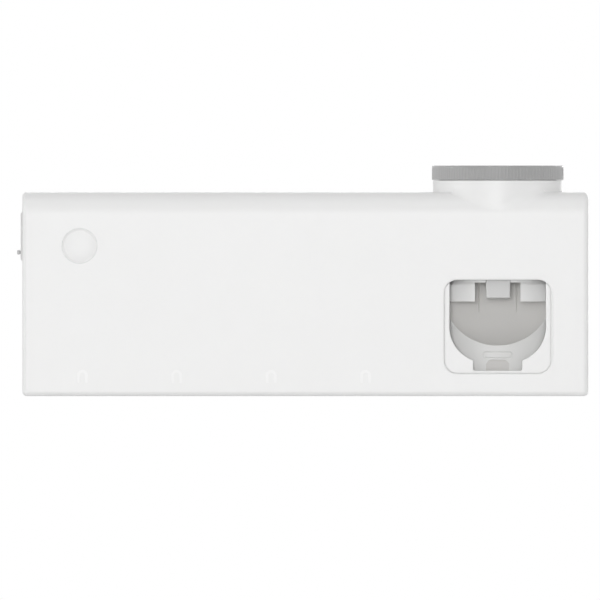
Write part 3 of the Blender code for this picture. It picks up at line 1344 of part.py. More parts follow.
def pump_block(bench):
    """Deck of the well with the pump's chamber, the duct to the nozzle and the hinge ears."""
    x, y = DISPENSER_X, DISPENSER_Y
    deck_radius = WELL_RADIUS - CLEARANCE
    block = upright("pump_block", deck_radius, x, y, DECK_LOW_Z, DECK_TOP_Z, ROUND_STEPS)
    join(bench, block, upright("pump_barrel", PUMP_RADIUS, x, y, PUMP_LOW_Z, DECK_LOW_Z + SINK))
    half = NOZZLE_WIDTH / 2
    duct_arm = box("duct_arm", (x - half, NOZZLE_FRONT_Y, ARM_LOW_Z), (x + half, y, DECK_LOW_Z + SINK))
    join(bench, block, duct_arm)
    ear_inner = BARREL_INNER + BARREL_LENGTH + CLEARANCE
    for side in (-1, 1):
        middle = x + side * (ear_inner + EAR_THICKNESS / 2)
        join(bench, block, hinge_ear(middle))
    cut(bench, block, upright("spring_seat", SPRING_SEAT_RADIUS, x, y, PUMP_LOW_Z - OVERRUN, SPRING_SEAT_Z))
    piston_bore = PISTON_RADIUS + CLEARANCE
    cut(bench, block, upright("piston_bore", piston_bore, x, y, PUMP_LOW_Z - OVERRUN, PISTON_TOP_Z))
    cut(bench, block, upright("inlet_hole", INLET_RADIUS, x, y, PISTON_TOP_Z - SINK, DECK_TOP_Z + OVERRUN))
    seal_floor = DECK_TOP_Z - SEAL_RECESS
    cut(bench, block, upright("seal_seat", SEAL_RADIUS + CLEARANCE, x, y, seal_floor, DECK_TOP_Z + OVERRUN))
    duct_z = DECK_LOW_Z - DUCT_DROP
    nozzle_y = (NOZZLE_FRONT_Y + NOZZLE_BACK_Y) / 2
    cut(bench, block, fore_aft("duct", DUCT_RADIUS, x, duct_z, nozzle_y, y, SCREW_STEPS))
    cut(bench, block, upright("duct_down", DUCT_RADIUS, x, nozzle_y, ARM_LOW_Z - OVERRUN, duct_z, SCREW_STEPS))
    pin_hole = PIN_RADIUS + CLEARANCE
    reach = ear_inner + EAR_THICKNESS + OVERRUN
    cut(bench, block, across("pin_hole", pin_hole, HINGE_Y, HINGE_Z, x - reach, x + reach, SCREW_STEPS))
    bench.part(block, "pump_block", CLOUD_PLASTIC, "dispenser")


def hinge_ear(x):
    """Plate that hangs from the deck with a round end about the pin."""
    outline = arc((HINGE_Y, HINGE_Z), (EAR_RADIUS, EAR_RADIUS), 180, 360)
    outline += [(HINGE_Y + EAR_RADIUS, DECK_LOW_Z + SINK), (HINGE_Y - EAR_RADIUS, DECK_LOW_Z + SINK)]
    return prism("hinge_ear", outline, (x, 0, 0), EAR_THICKNESS, SIDE)


def paste_way(bench):
    """Socket seal, check valve and nozzle."""
    x, y = DISPENSER_X, DISPENSER_Y
    low = DECK_TOP_Z - SEAL_RECESS + CLEARANCE
    rim = low + SEAL_RECESS
    top = low + SEAL_HEIGHT
    seal = [
        (SOCKET_TOP_RADIUS, top),
        (SEAL_NECK_RADIUS, top),
        (SEAL_NECK_RADIUS, rim),
        (SEAL_RADIUS, rim),
        (SEAL_RADIUS, low),
        (SOCKET_LOW_RADIUS, low),
    ]
    bench.part(turned("tube_seal", seal, (x, y, 0), closed=True, steps=SMALL_STEPS), "tube_seal", SILICONE, "dispenser")
    valve_radius = INLET_RADIUS - CLEARANCE
    valve_top = DECK_TOP_Z - SEAL_RECESS
    valve = [
        (VALVE_SLIT_RADIUS, valve_top),
        (valve_radius, valve_top),
        (valve_radius, valve_top - VALVE_LENGTH / 2),
        (VALVE_TIP_RADIUS, valve_top - VALVE_LENGTH),
        (VALVE_SLIT_RADIUS, valve_top - VALVE_LENGTH),
    ]
    bench.part(
        turned("check_valve", valve, (x, y, 0), closed=True, steps=SCREW_STEPS), "check_valve", SILICONE, "dispenser"
    )
    nozzle(bench)


def nozzle(bench):
    """Flat-faced spout with soft edges that narrows a little towards its mouth."""
    half = NOZZLE_WIDTH / 2
    top = ARM_LOW_Z - CLEARANCE
    spout = soft_box(
        "nozzle",
        (DISPENSER_X - half, NOZZLE_FRONT_Y, NOZZLE_LOW_Z),
        (DISPENSER_X + half, NOZZLE_BACK_Y, top),
        NOZZLE_EDGE,
        along=2,
    )
    for vert in spout.data.vertices:
        if vert.co.z < 0:
            vert.co.x -= math.copysign(NOZZLE_TAPER, vert.co.x)
    nozzle_y = (NOZZLE_FRONT_Y + NOZZLE_BACK_Y) / 2
    way = upright("nozzle_way", DUCT_RADIUS, DISPENSER_X, nozzle_y, NOZZLE_LOW_Z - OVERRUN, top + OVERRUN, SCREW_STEPS)
    cut(bench, spout, way)
    bench.part(spout, "nozzle", CLOUD_PLASTIC, "dispenser")


def push_plate(bench):
    """Swinging plate: grooves in front, ribs behind, barrels on the pin, a web between and the rocker."""
    x = DISPENSER_X
    corner = (PLATE_CORNER, PLATE_CORNER)
    inset = PLATE_HALF - PLATE_CORNER
    low = PLATE_LOW_Z + PLATE_CORNER - HINGE_Z
    outline = arc((-inset, low), corner, 180, 270, TOP_STEPS)
    outline += arc((inset, low), corner, 270, 360, TOP_STEPS)
    outline += [(PLATE_HALF, PLATE_TOP_Z - HINGE_Z), (-PLATE_HALF, PLATE_TOP_Z - HINGE_Z)]
    plate = prism("push_plate", outline, (x, HINGE_Y, HINGE_Z), PLATE_THICKNESS, FRONT)
    for side in (-1, 1):
        near = x + side * BARREL_INNER
        far = x + side * (BARREL_INNER + BARREL_LENGTH)
        left, right = min(near, far), max(near, far)
        hanger = box(
            "hanger",
            (left, PLATE_FRONT_Y, PLATE_TOP_Z - BARREL_RADIUS),
            (right, PLATE_BACK_Y, HINGE_Z),
        )
        join(bench, plate, hanger, across("barrel", BARREL_RADIUS, HINGE_Y, HINGE_Z, left, right, SMALL_STEPS))
        rib_x = x + side * (BARREL_INNER + BARREL_LENGTH / 2)
        rib = box(
            "plate_rib",
            (rib_x - PLATE_RIB_WIDTH / 2, PLATE_BACK_Y - SINK, PLATE_LOW_Z + PLATE_CORNER),
            (rib_x + PLATE_RIB_WIDTH / 2, PLATE_BACK_Y + PLATE_RIB_HEIGHT, PLATE_TOP_Z - BARREL_RADIUS),
        )
        join(bench, plate, rib)
        cut(bench, plate, plate_groove(x + side * GROOVE_OFFSET))
    web = box(
        "plate_web",
        (x - BARREL_INNER - SINK, PLATE_FRONT_Y, PLATE_TOP_Z - BARREL_RADIUS),
        (x + BARREL_INNER + SINK, PLATE_BACK_Y, HINGE_Z - PLATE_WEB_DROP),
    )
    join(bench, plate, web)
    half = ROCKER_WIDTH / 2
    arm = box(
        "rocker_arm",
        (x - half, PLATE_BACK_Y - SINK, ROCKER_Z - ROCKER_RADIUS),
        (x + half, DISPENSER_Y, ROCKER_Z + ROCKER_RADIUS / 2),
    )
    tip = across("rocker_tip", ROCKER_RADIUS, DISPENSER_Y, ROCKER_Z, x - half, x + half, SCREW_STEPS)
    join(bench, plate, arm, tip)
    reach = BARREL_INNER + BARREL_LENGTH + OVERRUN
    pin_way = across("pin_way", PIN_RADIUS + CLEARANCE, HINGE_Y, HINGE_Z, x - reach, x + reach, SCREW_STEPS)
    cut(bench, plate, pin_way)
    bench.part(plate, "push_plate", WARM_PLASTIC, "push_plate_axis")
    ear = BARREL_INNER + BARREL_LENGTH + CLEARANCE + EAR_THICKNESS
    pin = across("hinge_pin", PIN_RADIUS, HINGE_Y, HINGE_Z, x - ear, x + ear, SCREW_STEPS)
    bench.part(pin, "hinge_pin", STEEL, "dispenser")


def plate_groove(x):
    """Shallow groove that starts at the plate's top and tapers out below the blocks."""
    top = PLATE_TOP_Z + OVERRUN
    low = WINDOW_TOP_Z - GROOVE_DROP
    points = [
        (-GROOVE_TIP / 2, low),
        (GROOVE_TIP / 2, low),
        (GROOVE_WIDTH / 2, top),
        (-GROOVE_WIDTH / 2, top),
    ]
    depth = GROOVE_DEPTH + GROOVE_DEPTH
    return prism("plate_groove", points, (x, PLATE_FRONT_Y, 0), depth, FRONT)


def plunger(bench):
    """Foot, stem and piston in one, its cup seal and the spring that sends it back."""
    x, y = DISPENSER_X, DISPENSER_Y
    head_low = PISTON_HEAD_Z - PISTON_LENGTH
    foot_top = FOOT_LOW_Z + FOOT_THICKNESS
    profile = [
        (0, PISTON_HEAD_Z),
        (PISTON_RADIUS, PISTON_HEAD_Z),
        (PISTON_RADIUS, head_low),
        (STEM_RADIUS, head_low),
        (STEM_RADIUS, foot_top),
        (FOOT_RADIUS, foot_top),
        (FOOT_RADIUS, FOOT_LOW_Z),
        (0, FOOT_LOW_Z),
    ]
    bench.part(turned("plunger", profile, (x, y, 0), steps=SMALL_STEPS), "plunger", CLOUD_PLASTIC, "plunger_track")
    cup_low = PISTON_HEAD_Z + CLEARANCE
    cup_radius = PISTON_RADIUS + PISTON_GAP
    cup = [
        (0, cup_low + CUP_HEIGHT / 2),
        (STEM_RADIUS, cup_low + CUP_HEIGHT),
        (cup_radius, cup_low + CUP_HEIGHT),
        (cup_radius, cup_low),
        (0, cup_low),
    ]
    bench.part(turned("plunger_seal", cup, (x, y, 0), steps=SMALL_STEPS), "plunger_seal", SILICONE, "plunger_track")
    return_spring(bench, foot_top + CLEARANCE, SPRING_SEAT_Z - CLEARANCE)


def least_gap(path, steps, wire):
    """Least clear distance between stretches of wire that are over half a turn apart."""
    apart = steps // 2 + 1
    spans = [(first - second).length for index, first in enumerate(path) for second in path[index + apart :]]
    return min(spans) - wire - wire


def return_spring(bench, low, high):
    """Coil of round wire between the plunger's foot and the seat in the pump block."""
    curve = bpy.data.curves.new("return_spring", "CURVE")
    curve.dimensions = "3D"
    curve.bevel_depth = SPRING_WIRE
    curve.bevel_resolution = 1
    curve.use_fill_caps = True
    count = SPRING_TURNS * SPRING_STEPS
    spline = curve.splines.new("POLY")
    spline.points.add(count)
    climb = high - low - SPRING_WIRE - SPRING_WIRE
    for index, point in enumerate(spline.points):
        angle = math.tau * index / SPRING_STEPS
        height = climb * index / count
        point.co = (SPRING_RADIUS * math.cos(angle), SPRING_RADIUS * math.sin(angle), height, 1)
    path = [point.co.to_3d() for point in spline.points]
    print(f"return_spring: least gap between turns {least_gap(path, SPRING_STEPS, SPRING_WIRE):.5f} m")
    place = (DISPENSER_X, DISPENSER_Y, low + SPRING_WIRE)
    coil = welded(bpy.data.objects.new("return_spring", curve), "return_spring", place, smooth=True)
    bench.part(coil, "return_spring", STEEL, "dispenser")


def main():
    clear_scene()
    bench = Bench()
    bench.frame("wall", (0, 0, 0))
    bench.frame("housing", (0, COVER_BACK_Y, 0), "wall")
    bench.frame("start_button_track", (BUTTON_X, FRONT_Y, BUTTON_Z), "housing")
    bench.frame("power_switch_track", (SWITCH_PLATE_X, SWITCH_PLATE_Y, KNOB_Z), "housing")
    bench.frame("dispenser", (DISPENSER_X, DISPENSER_Y, NECK_TOP_Z), "housing")
    bench.frame("push_plate_axis", (DISPENSER_X, HINGE_Y, HINGE_Z), "dispenser")
    bench.frame("plunger_track", (DISPENSER_X, DISPENSER_Y, FOOT_LOW_Z), "dispenser")
    wall_bracket(bench)
    front_shell(bench)
    rear_cover(bench)
    screws(bench)
    window_bezel(bench)
    switch_group(bench)
    start_button(bench)
    electronics(bench)
    chamber_liner(bench)
    lamp(bench)
    port_grommets(bench)
    grip_ring(bench)
    module_sleeve(bench)
    pump_block(bench)
    paste_way(bench)
    push_plate(bench)
    plunger(bench)


main()
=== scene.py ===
"""Looks of a wall-hung toothbrush sterilizer with a lift-out paste dispenser.

Metres, +Z up, -Y towards the room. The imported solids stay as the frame; the pieces here stand for
the ones whose form or finish the plain solids can't show.
"""

import logging
import math
from dataclasses import dataclass
from enum import Enum
from functools import cache
from typing import Callable, Optional, Sequence

import bmesh
import bpy
from mathutils import Euler, Matrix, Vector


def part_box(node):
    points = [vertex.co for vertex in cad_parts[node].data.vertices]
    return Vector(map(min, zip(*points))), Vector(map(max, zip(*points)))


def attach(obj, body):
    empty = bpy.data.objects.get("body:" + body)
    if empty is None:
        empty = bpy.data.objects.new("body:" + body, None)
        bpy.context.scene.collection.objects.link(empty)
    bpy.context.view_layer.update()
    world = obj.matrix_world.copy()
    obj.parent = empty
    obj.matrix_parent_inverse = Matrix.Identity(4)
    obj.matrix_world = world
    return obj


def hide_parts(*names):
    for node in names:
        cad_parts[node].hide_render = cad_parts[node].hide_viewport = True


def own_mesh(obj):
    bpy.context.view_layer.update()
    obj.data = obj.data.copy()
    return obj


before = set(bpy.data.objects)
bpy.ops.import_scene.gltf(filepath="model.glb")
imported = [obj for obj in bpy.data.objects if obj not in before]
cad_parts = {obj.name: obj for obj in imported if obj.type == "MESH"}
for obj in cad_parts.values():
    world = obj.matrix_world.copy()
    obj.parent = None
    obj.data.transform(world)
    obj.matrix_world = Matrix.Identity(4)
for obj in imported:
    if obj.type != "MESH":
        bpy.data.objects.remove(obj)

log = logging.getLogger("sterilizer")
logging.basicConfig(level=logging.INFO, format="%(name)s: %(message)s")

ROUND_STEPS = 160
SMALL_STEPS = 64
SLACK = 1e-5
MERGE_REACH = 2e-6
SHARP_TURN = math.radians(35)
NEARLY_STRAIGHT = math.pi - 0.03
MOST_OF_HALF = 0.495
HOLE_STEPS = 96

# PAST: how far a cutter passes what it cuts. THROUGH: how far it passes the inside of a wall.
# BITE: how far joined pieces overlap. NEAR: how near an edge lies to the outline it belongs to.
PAST = 0.004
THROUGH = 0.0008
BITE = 0.0004
NEAR = 0.0005

# Places that several pieces share

HALF_WIDTH = 0.1415
HALF_HEIGHT = 0.051
FRONT = -0.0695
NECK_X = 0.0962
NECK_Y = -0.03685
BUTTON_X = -0.1129
BUTTON_Z = 0.0241
PORT_PITCH = 0.0472
PORT_PLACES = tuple(-0.1115 + index * PORT_PITCH for index in range(4))
PORT_Y = -0.0395
BOSS_COLUMNS = (-0.1333, 0.059, 0.1333)
BOSS_ROWS = (-0.0428, 0.0428)

Point = tuple[float, float]
Corner = tuple[float, float, float]
Colour = tuple[float, float, float]
Place = tuple[float, float, float]
Piece = bpy.types.Object
Edge = bmesh.types.BMEdge
Draft = bmesh.types.BMesh
Tree = bpy.types.NodeTree
Socket = bpy.types.NodeSocket


class Plane(Enum):
    """The plane that a flat outline is drawn in; its own +Z is the named direction."""

    TOP = (0.0, 0.0, 0.0)
    FRONT = (math.pi / 2, 0.0, 0.0)
    BACK = (-math.pi / 2, 0.0, 0.0)
    SIDE = (math.pi / 2, 0.0, math.pi / 2)

    def placed(self, centre: Place) -> Matrix:
        """The matrix that takes a piece drawn in this plane to its centre."""
        return Matrix.Translation(Vector(centre)) @ Euler(self.value).to_matrix().to_4x4()


class Joining(Enum):
    """How a tool piece meets the piece that it works on."""

    ADD = "UNION"
    CUT = "DIFFERENCE"
    KEEP = "INTERSECT"


class Slot(Enum):
    """The record's material slots."""

    WHITE = "white_plastic"
    GREY = "grey_plastic"
    WARM = "warm_plastic"
    CLOUD = "cloud_plastic"
    DARK = "dark_plastic"
    SILICONE = "silicone"
    STEEL = "steel"
    BRIGHT = "bright_metal"
    BOARD = "board"
    CELL = "cell_wrap"
    GLASS = "lamp_glass"
    FOAM = "foam"


# Mesh kit


def made(name: str, bm: Draft, place: Optional[Matrix] = None) -> Piece:
    """Turns a bmesh into an object at the origin.

    Args:
        name: The object's and the mesh's name.
        bm: The mesh being built, freed here.
        place: The matrix applied to the mesh, if any.

    Returns:
        The new object, linked to the scene.
    """
    mesh = bpy.data.meshes.new(name)
    bm.to_mesh(mesh)
    bm.free()
    if place is not None:
        mesh.transform(place)
    obj = bpy.data.objects.new(name, mesh)
    bpy.context.scene.collection.objects.link(obj)
    return obj


def discard(obj: Piece) -> None:
    """Removes a tool piece with its mesh."""
    mesh = obj.data
    bpy.data.objects.remove(obj, do_unlink=True)
    bpy.data.meshes.remove(mesh)


def baked(obj: Piece) -> Piece:
    """Replaces an object's mesh by what its modifiers make of it.

    Args:
        obj: A mesh object with live modifiers.

    Returns:
        The same object, with a plain mesh and no modifier.
    """
    graph = bpy.context.evaluated_depsgraph_get()
    live = obj.evaluated_get(graph)
    mesh = bpy.data.meshes.new_from_object(live, preserve_all_data_layers=True, depsgraph=graph)
    obj.modifiers.clear()
    old = obj.data
    obj.data = mesh
    mesh.name = obj.name
    bpy.data.meshes.remove(old)
    return obj


def combine(base: Piece, how: Joining, *tools: Piece) -> Piece:
    """Adds, cuts or keeps tool pieces on a base piece.

    Args:
        base: The piece that changes.
        how: What each tool does to it.
        tools: The tool pieces, removed afterwards.

    Returns:
        The base piece.
    """
    for tool in tools:
        step = base.modifiers.new("combine", "BOOLEAN")
        step.operation = how.value
        step.solver = "EXACT"
        step.object = tool
        baked(base)
        discard(tool)
    return base


def cube(low: Place, high: Place) -> Draft:
    """A plain block between two corners, still open for changes.

    Args:
        low: Lowest corner.
        high: Highest corner.

    Returns:
        The block's draft.
    """
    low_v, high_v = Vector(low), Vector(high)
    bm = bmesh.new()
    bmesh.ops.create_cube(bm, size=1)
    bmesh.ops.scale(bm, vec=high_v - low_v, verts=bm.verts)
    bmesh.ops.translate(bm, vec=(low_v + high_v) / 2, verts=bm.verts)
    return bm


def bevelled(bm: Draft, edges: Sequence[Edge], reach: float, steps: int) -> list[bmesh.types.BMVert]:
    """Rounds edges of a draft.

    Args:
        bm: The draft.
        edges: Its edges to round.
        reach: How far the rounding reaches from each edge.
        steps: Segments across it.

    Returns:
        The vertices of the rounding.
    """
    rounded = bmesh.ops.bevel(
        bm, geom=edges, offset=reach, offset_type="OFFSET", segments=steps, profile=0.5, affect="EDGES",
        clamp_overlap=False,
    )
    return rounded["verts"]


def lies_at(edge: Edge, axis: int, value: float) -> bool:
    """Whether an edge lies wholly at one place on an axis."""
    return all(abs(vert.co[axis] - value) < SLACK for vert in edge.verts)


def midpoint(edge: Edge) -> Vector:
    """The middle of an edge."""
    return (edge.verts[0].co + edge.verts[1].co) / 2


def skinned(
    name: str, bm: Draft, rings: Sequence, capped: bool = True, place: Optional[Matrix] = None
) -> Piece:
    """Covers rings of vertices with faces that point outwards.

    Args:
        name: The piece's name.
        bm: The draft that holds the vertices.
        rings: Rings of equal length, in order; a ring may be one vertex repeated.
        capped: Whether a face closes the first ring and another the last.
        place: The matrix applied to the mesh, if any.

    Returns:
        The piece.
    """
    for lower, upper in zip(rings, rings[1:]):
        for index in range(len(lower)):
            after = (index + 1) % len(lower)
            loop = [lower[index], lower[after], upper[after], upper[index]]
            distinct = [vert for spot, vert in enumerate(loop) if vert not in loop[:spot]]
            if len(distinct) > 2:
                bm.faces.new(distinct)
    if capped:
        bm.faces.new(rings[0])
        bm.faces.new(rings[-1])
    bmesh.ops.recalc_face_normals(bm, faces=bm.faces)
    return made(name, bm, place)


def soften(obj: Piece, width: float, steps: int, chosen: Callable[[Edge], bool], depth: float = 1.0) -> None:
    """Rounds the sharp edges that a test picks.

    Args:
        obj: The piece whose mesh changes.
        width: How far the rounding reaches from the edge.
        steps: Segments across the rounding.
        chosen: The test that an edge passes to be rounded.
        depth: Depth of the rounding on a face towards the room, as a share of its width.
    """
    bm = bmesh.new()
    bm.from_mesh(obj.data)
    bmesh.ops.remove_doubles(bm, verts=bm.verts, dist=MERGE_REACH)
    edges = [e for e in bm.edges if e.is_manifold and e.calc_face_angle(0.0) > SHARP_TURN and chosen(e)]
    rounded = bevelled(bm, edges, width, steps)
    if depth < 1:
        face = min(vert.co.y for vert in rounded)
        for vert in rounded:
            vert.co.y = face + (vert.co.y - face) * depth
    bm.to_mesh(obj.data)
    bm.free()


def settle(obj: Piece, angle: float = 38.0) -> Piece:
    """Gives a finished mesh its smooth shading, with flat faces kept flat.

    Args:
        obj: The piece.
        angle: Edges that turn by more degrees than this stay crisp.

    Returns:
        The same piece, with its normals baked in.
    """
    obj.data.shade_smooth()
    obj.data.set_sharp_from_angle(angle=math.radians(angle))
    weighted = obj.modifiers.new("normals", "WEIGHTED_NORMAL")
    weighted.keep_sharp = True
    weighted.weight = 80
    return baked(obj)


def box(
    name: str, low: Place, high: Place, radius: float = 0.0, steps: int = 4, along: Optional[int] = None
) -> Piece:
    """A box between two corners with rounded edges.

    Args:
        name: The piece's name.
        low: Lowest corner.
        high: Highest corner.
        radius: Radius of the rounded edges, none if zero.
        steps: Segments across each rounding.
        along: The axis whose four edges are rounded, or None for all twelve.

    Returns:
        The box.
    """
    bm = cube(low, high)
    if radius > 0:
        ends = [(e, e.verts[0].co - e.verts[1].co) for e in bm.edges]
        bevelled(bm, [e for e, run in ends if along is None or abs(run[along]) > SLACK], radius, steps)
    return made(name, bm)


def eased(corners: Sequence[Corner], closed: bool = True, steps: int = 5) -> list[Point]:
    """Rounds each corner of an outline by its own radius.

    Args:
        corners: Points as (u, v, radius), where a radius of zero leaves the corner sharp.
        closed: Whether the last point joins the first.
        steps: Segments on each arc.

    Returns:
        The points of the rounded outline.
    """
    points: list[Point] = []
    count = len(corners)
    for index, (u, v, radius) in enumerate(corners):
        here = Vector((u, v))
        if radius <= 0 or (not closed and index in (0, count - 1)):
            points.append((u, v))
            continue
        before = Vector(corners[index - 1][:2]) - here
        after = Vector(corners[(index + 1) % count][:2]) - here
        angle = before.angle(after)
        if angle > NEARLY_STRAIGHT:
            points.append((u, v))
            continue
        reach = min(radius / math.tan(angle / 2), MOST_OF_HALF * min(before.length, after.length))
        real = reach * math.tan(angle / 2)
        centre = here + (before.normalized() + after.normalized()).normalized() * (real / math.sin(angle / 2))
        start = here + before.normalized() * reach - centre
        end = here + after.normalized() * reach - centre
        sweep = start.angle(end)
        for step in range(steps + 1):
            share = step / steps
            arm = (start * math.sin((1 - share) * sweep) + end * math.sin(share * sweep)) / math.sin(sweep)
            points.append((centre.x + arm.x, centre.y + arm.y))
    return points


def arc(centre: Point, radii: Point, start: float, end: float, steps: int = 24) -> list[Point]:
    """Points on an ellipse between two angles.

    Args:
        centre: The ellipse's centre.
        radii: Its two radii.
        start: First angle in degrees.
        end: Last angle in degrees.
        steps: Segments between them.

    Returns:
        The points, both ends included.
    """
    points = []
    for step in range(steps + 1):
        angle = math.radians(start + (end - start) * step / steps)
        points.append((centre[0] + radii[0] * math.cos(angle), centre[1] + radii[1] * math.sin(angle)))
    return points


def slab(
    name: str, outline: Sequence[Point], centre: Place, thickness: float, plane: Plane, rim: float = 0.0,
    steps: int = 3,
) -> Piece:
    """A flat outline with a thickness and a rounded front rim.

    Args:
        name: The piece's name.
        outline: The outline's points in its own plane.
        centre: Where the outline's origin and mid thickness go.
        thickness: Full thickness.
        plane: The plane that it is drawn in.
        rim: Radius along the front rim, none if zero.
        steps: Segments across the rim.

    Returns:
        The slab.
    """
    bm = bmesh.new()
    face = bm.faces.new([bm.verts.new((u, v, -thickness / 2)) for u, v in outline])
    risen = bmesh.ops.extrude_face_region(bm, geom=[face])
    lifted = [item for item in risen["geom"] if isinstance(item, bmesh.types.BMVert)]
    bmesh.ops.translate(bm, vec=(0, 0, thickness), verts=lifted)
    bmesh.ops.recalc_face_normals(bm, faces=bm.faces)
    if rim > 0:
        bevelled(bm, [edge for edge in bm.edges if lies_at(edge, 2, thickness / 2)], rim, steps)
    return made(name, bm, plane.placed(centre))


def turned(
    name: str, profile: Sequence[Point], centre: Place, plane: Plane = Plane.TOP, steps: int = ROUND_STEPS,
    closed: bool = False,
) -> Piece:
    """A profile of radius and height turned about its own axis.

    Args:
        name: The piece's name.
        profile: (radius, height) points; an open profile starts and ends on the axis.
        centre: Where the axis's origin goes.
        plane: Which way the axis points.
        steps: Segments round the axis.
        closed: Whether the profile is a ring that doesn't touch the axis.

    Returns:
        The turned piece.
    """
    bm = bmesh.new()
    angles = [math.tau * step / steps for step in range(steps)]
    rings = []
    for radius, height in profile:
        if radius < SLACK:
            rings.append([bm.verts.new((0, 0, height))] * steps)
        else:
            rings.append([bm.verts.new((radius * math.cos(a), radius * math.sin(a), height)) for a in angles])
    if closed:
        rings.append(rings[0])
    return skinned(name, bm, rings, False, plane.placed(centre))


def rod(name: str, radius: float, start: Place, end: Place, steps: int = SMALL_STEPS) -> Piece:
    """A plain cylinder between two points, used as a tool.

    Args:
        name: The piece's name.
        radius: Its radius.
        start: One end.
        end: The other end.
        steps: Segments round it.

    Returns:
        The cylinder.
    """
    first, last = Vector(start), Vector(end)
    run = last - first
    bm = bmesh.new()
    bmesh.ops.create_cone(bm, cap_ends=True, segments=steps, radius1=radius, radius2=radius, depth=run.length)
    turn = run.to_track_quat("Z", "Y").to_matrix().to_4x4()
    return made(name, bm, Matrix.Translation((first + last) / 2) @ turn)


# Node trees


class Wiring:
    """A node tree, drawn node by node."""

    def __init__(self, tree: Tree, inputs: Sequence[tuple[str, str, object]] = ()) -> None:
        """Takes a tree and gives it its named inputs.

        Args:
            tree: The tree that the nodes go into.
            inputs: (name, kind of socket, first value) of each input.
        """
        self.tree = tree
        for title, kind, value in inputs:
            socket = tree.interface.new_socket(title, in_out="INPUT", socket_type=f"NodeSocket{kind}")
            if value is not None:
                socket.default_value = value
        self.given = tree.nodes.new("NodeGroupInput").outputs if inputs else None

    def feed(self, node: bpy.types.Node, values: dict) -> None:
        """Fills a node's inputs.

        Args:
            node: The node.
            values: Input name or index to an output socket or a plain value.
        """
        for key, value in values.items():
            if isinstance(value, Socket):
                self.tree.links.new(value, node.inputs[key])
            else:
                node.inputs[key].default_value = value

    def add(self, kind: str, values: Optional[dict] = None, **settings: object) -> bpy.types.Node:
        """Adds a node.

        Args:
            kind: The node's type.
            values: Input name or index to an output socket or a plain value.
            settings: Properties of the node itself.

        Returns:
            The node.
        """
        node = self.tree.nodes.new(kind)
        for key, value in settings.items():
            setattr(node, key, value)
        self.feed(node, values or {})
        return node

    def calculated(self, operation: str, *values: object) -> Socket:
        """The result of a calculation on sockets and plain values."""
        return self.add("ShaderNodeMath", dict(enumerate(values)), operation=operation).outputs[0]


class Sheet(Wiring):
    """A geometry node tree that takes one geometry and gives one back."""

    def __init__(self, name: str, inputs: Sequence[tuple[str, str, object]]) -> None:
        """Opens a tree.

        Args:
            name: The tree's name.
            inputs: (name, kind of socket, first value) of each input after the geometry.
        """
        tree = bpy.data.node_groups.new(name, "GeometryNodeTree")
        super().__init__(tree, [("Geometry", "Geometry", None), *inputs, ("Material", "Material", None)])
        tree.interface.new_socket("Geometry", in_out="OUTPUT", socket_type="NodeSocketGeometry")

    def close(self, points: Socket, instance: Socket, **more: Socket) -> Tree:
        """Ends the tree with real copies of one piece on points, in one material.

        Args:
            points: Where the copies stand.
            instance: The piece that is copied.
            more: Further inputs of the copying node.

        Returns:
            The finished tree.
        """
        copies = self.add("GeometryNodeInstanceOnPoints", {"Points": points, "Instance": instance, **more})
        real = self.add("GeometryNodeRealizeInstances", {0: copies.outputs[0]})
        values = {"Geometry": real.outputs[0], "Material": self.given["Material"]}
        worn = self.add("GeometryNodeSetMaterial", values)
        self.add("NodeGroupOutput", {0: worn.outputs[0]})
        return self.tree


def grown(obj: Piece, tree: Tree, values: dict[str, object], tools: Sequence[Piece] = ()) -> Piece:
    """Runs a geometry node tree on an object and keeps the plain mesh.

    Args:
        obj: The object that carries the tree's geometry.
        tree: The tree.
        values: Input name to value.
        tools: Objects that the tree reads, removed afterwards.

    Returns:
        The same object with its new mesh.
    """
    step = obj.modifiers.new(tree.name, "NODES")
    step.node_group = tree
    names = {item.name: item.identifier for item in tree.interface.items_tree if item.in_out == "INPUT"}
    for name, value in values.items():
        step[names[name]] = value
    baked(obj)
    for tool in tools:
        discard(tool)
    return obj


def round_about() -> Tree:
    """The tree that stands copies of a piece at even angles about an axis."""
    sheet = Sheet("round_about", [("Count", "Int", 6), ("Radius", "Float", 0.0)])
    index = sheet.add("GeometryNodeInputIndex").outputs[0]
    angle = sheet.calculated("MULTIPLY", index, sheet.calculated("DIVIDE", math.tau, sheet.given["Count"]))
    across, along = sheet.calculated("COSINE", angle), sheet.calculated("SINE", angle)
    spot = sheet.add("ShaderNodeCombineXYZ", {0: across, 1: along}).outputs[0]
    reach = sheet.add("ShaderNodeVectorMath", {0: spot, "Scale": sheet.given["Radius"]}, operation="SCALE")
    turn = sheet.add("ShaderNodeCombineXYZ", {2: angle}).outputs[0]
    points = sheet.add("GeometryNodePoints", {"Count": sheet.given["Count"], "Position": reach.outputs[0]})
    return sheet.close(points.outputs[0], sheet.given["Geometry"], Rotation=turn)


def in_a_row() -> Tree:
    """The tree that repeats a piece at an even pitch along a line."""
    inputs = [("Count", "Int", 4), ("Start", "Vector", (0, 0, 0)), ("Pitch", "Vector", (1, 0, 0))]
    sheet = Sheet("in_a_row", inputs)
    given = sheet.given
    values = {"Count": given["Count"], "Start Location": given["Start"], "Offset": given["Pitch"]}
    line = sheet.add("GeometryNodeMeshLine", values, mode="OFFSET")
    return sheet.close(line.outputs[0], given["Geometry"])


def on_points() -> Tree:
    """The tree that stands one piece on each vertex of a mesh, turned by that vertex's own angle."""
    sheet = Sheet("on_points", [("Piece", "Object", None), ("Axis", "Vector", (0, 1, 0))])
    piece = sheet.add("GeometryNodeObjectInfo", {"Object": sheet.given["Piece"]})
    angle = sheet.add("GeometryNodeInputNamedAttribute", {"Name": "turn"}, data_type="FLOAT").outputs[0]
    spin = sheet.add("ShaderNodeVectorMath", {0: sheet.given["Axis"], "Scale": angle}, operation="SCALE")
    return sheet.close(sheet.given["Geometry"], piece.outputs["Geometry"], Rotation=spin.outputs[0])


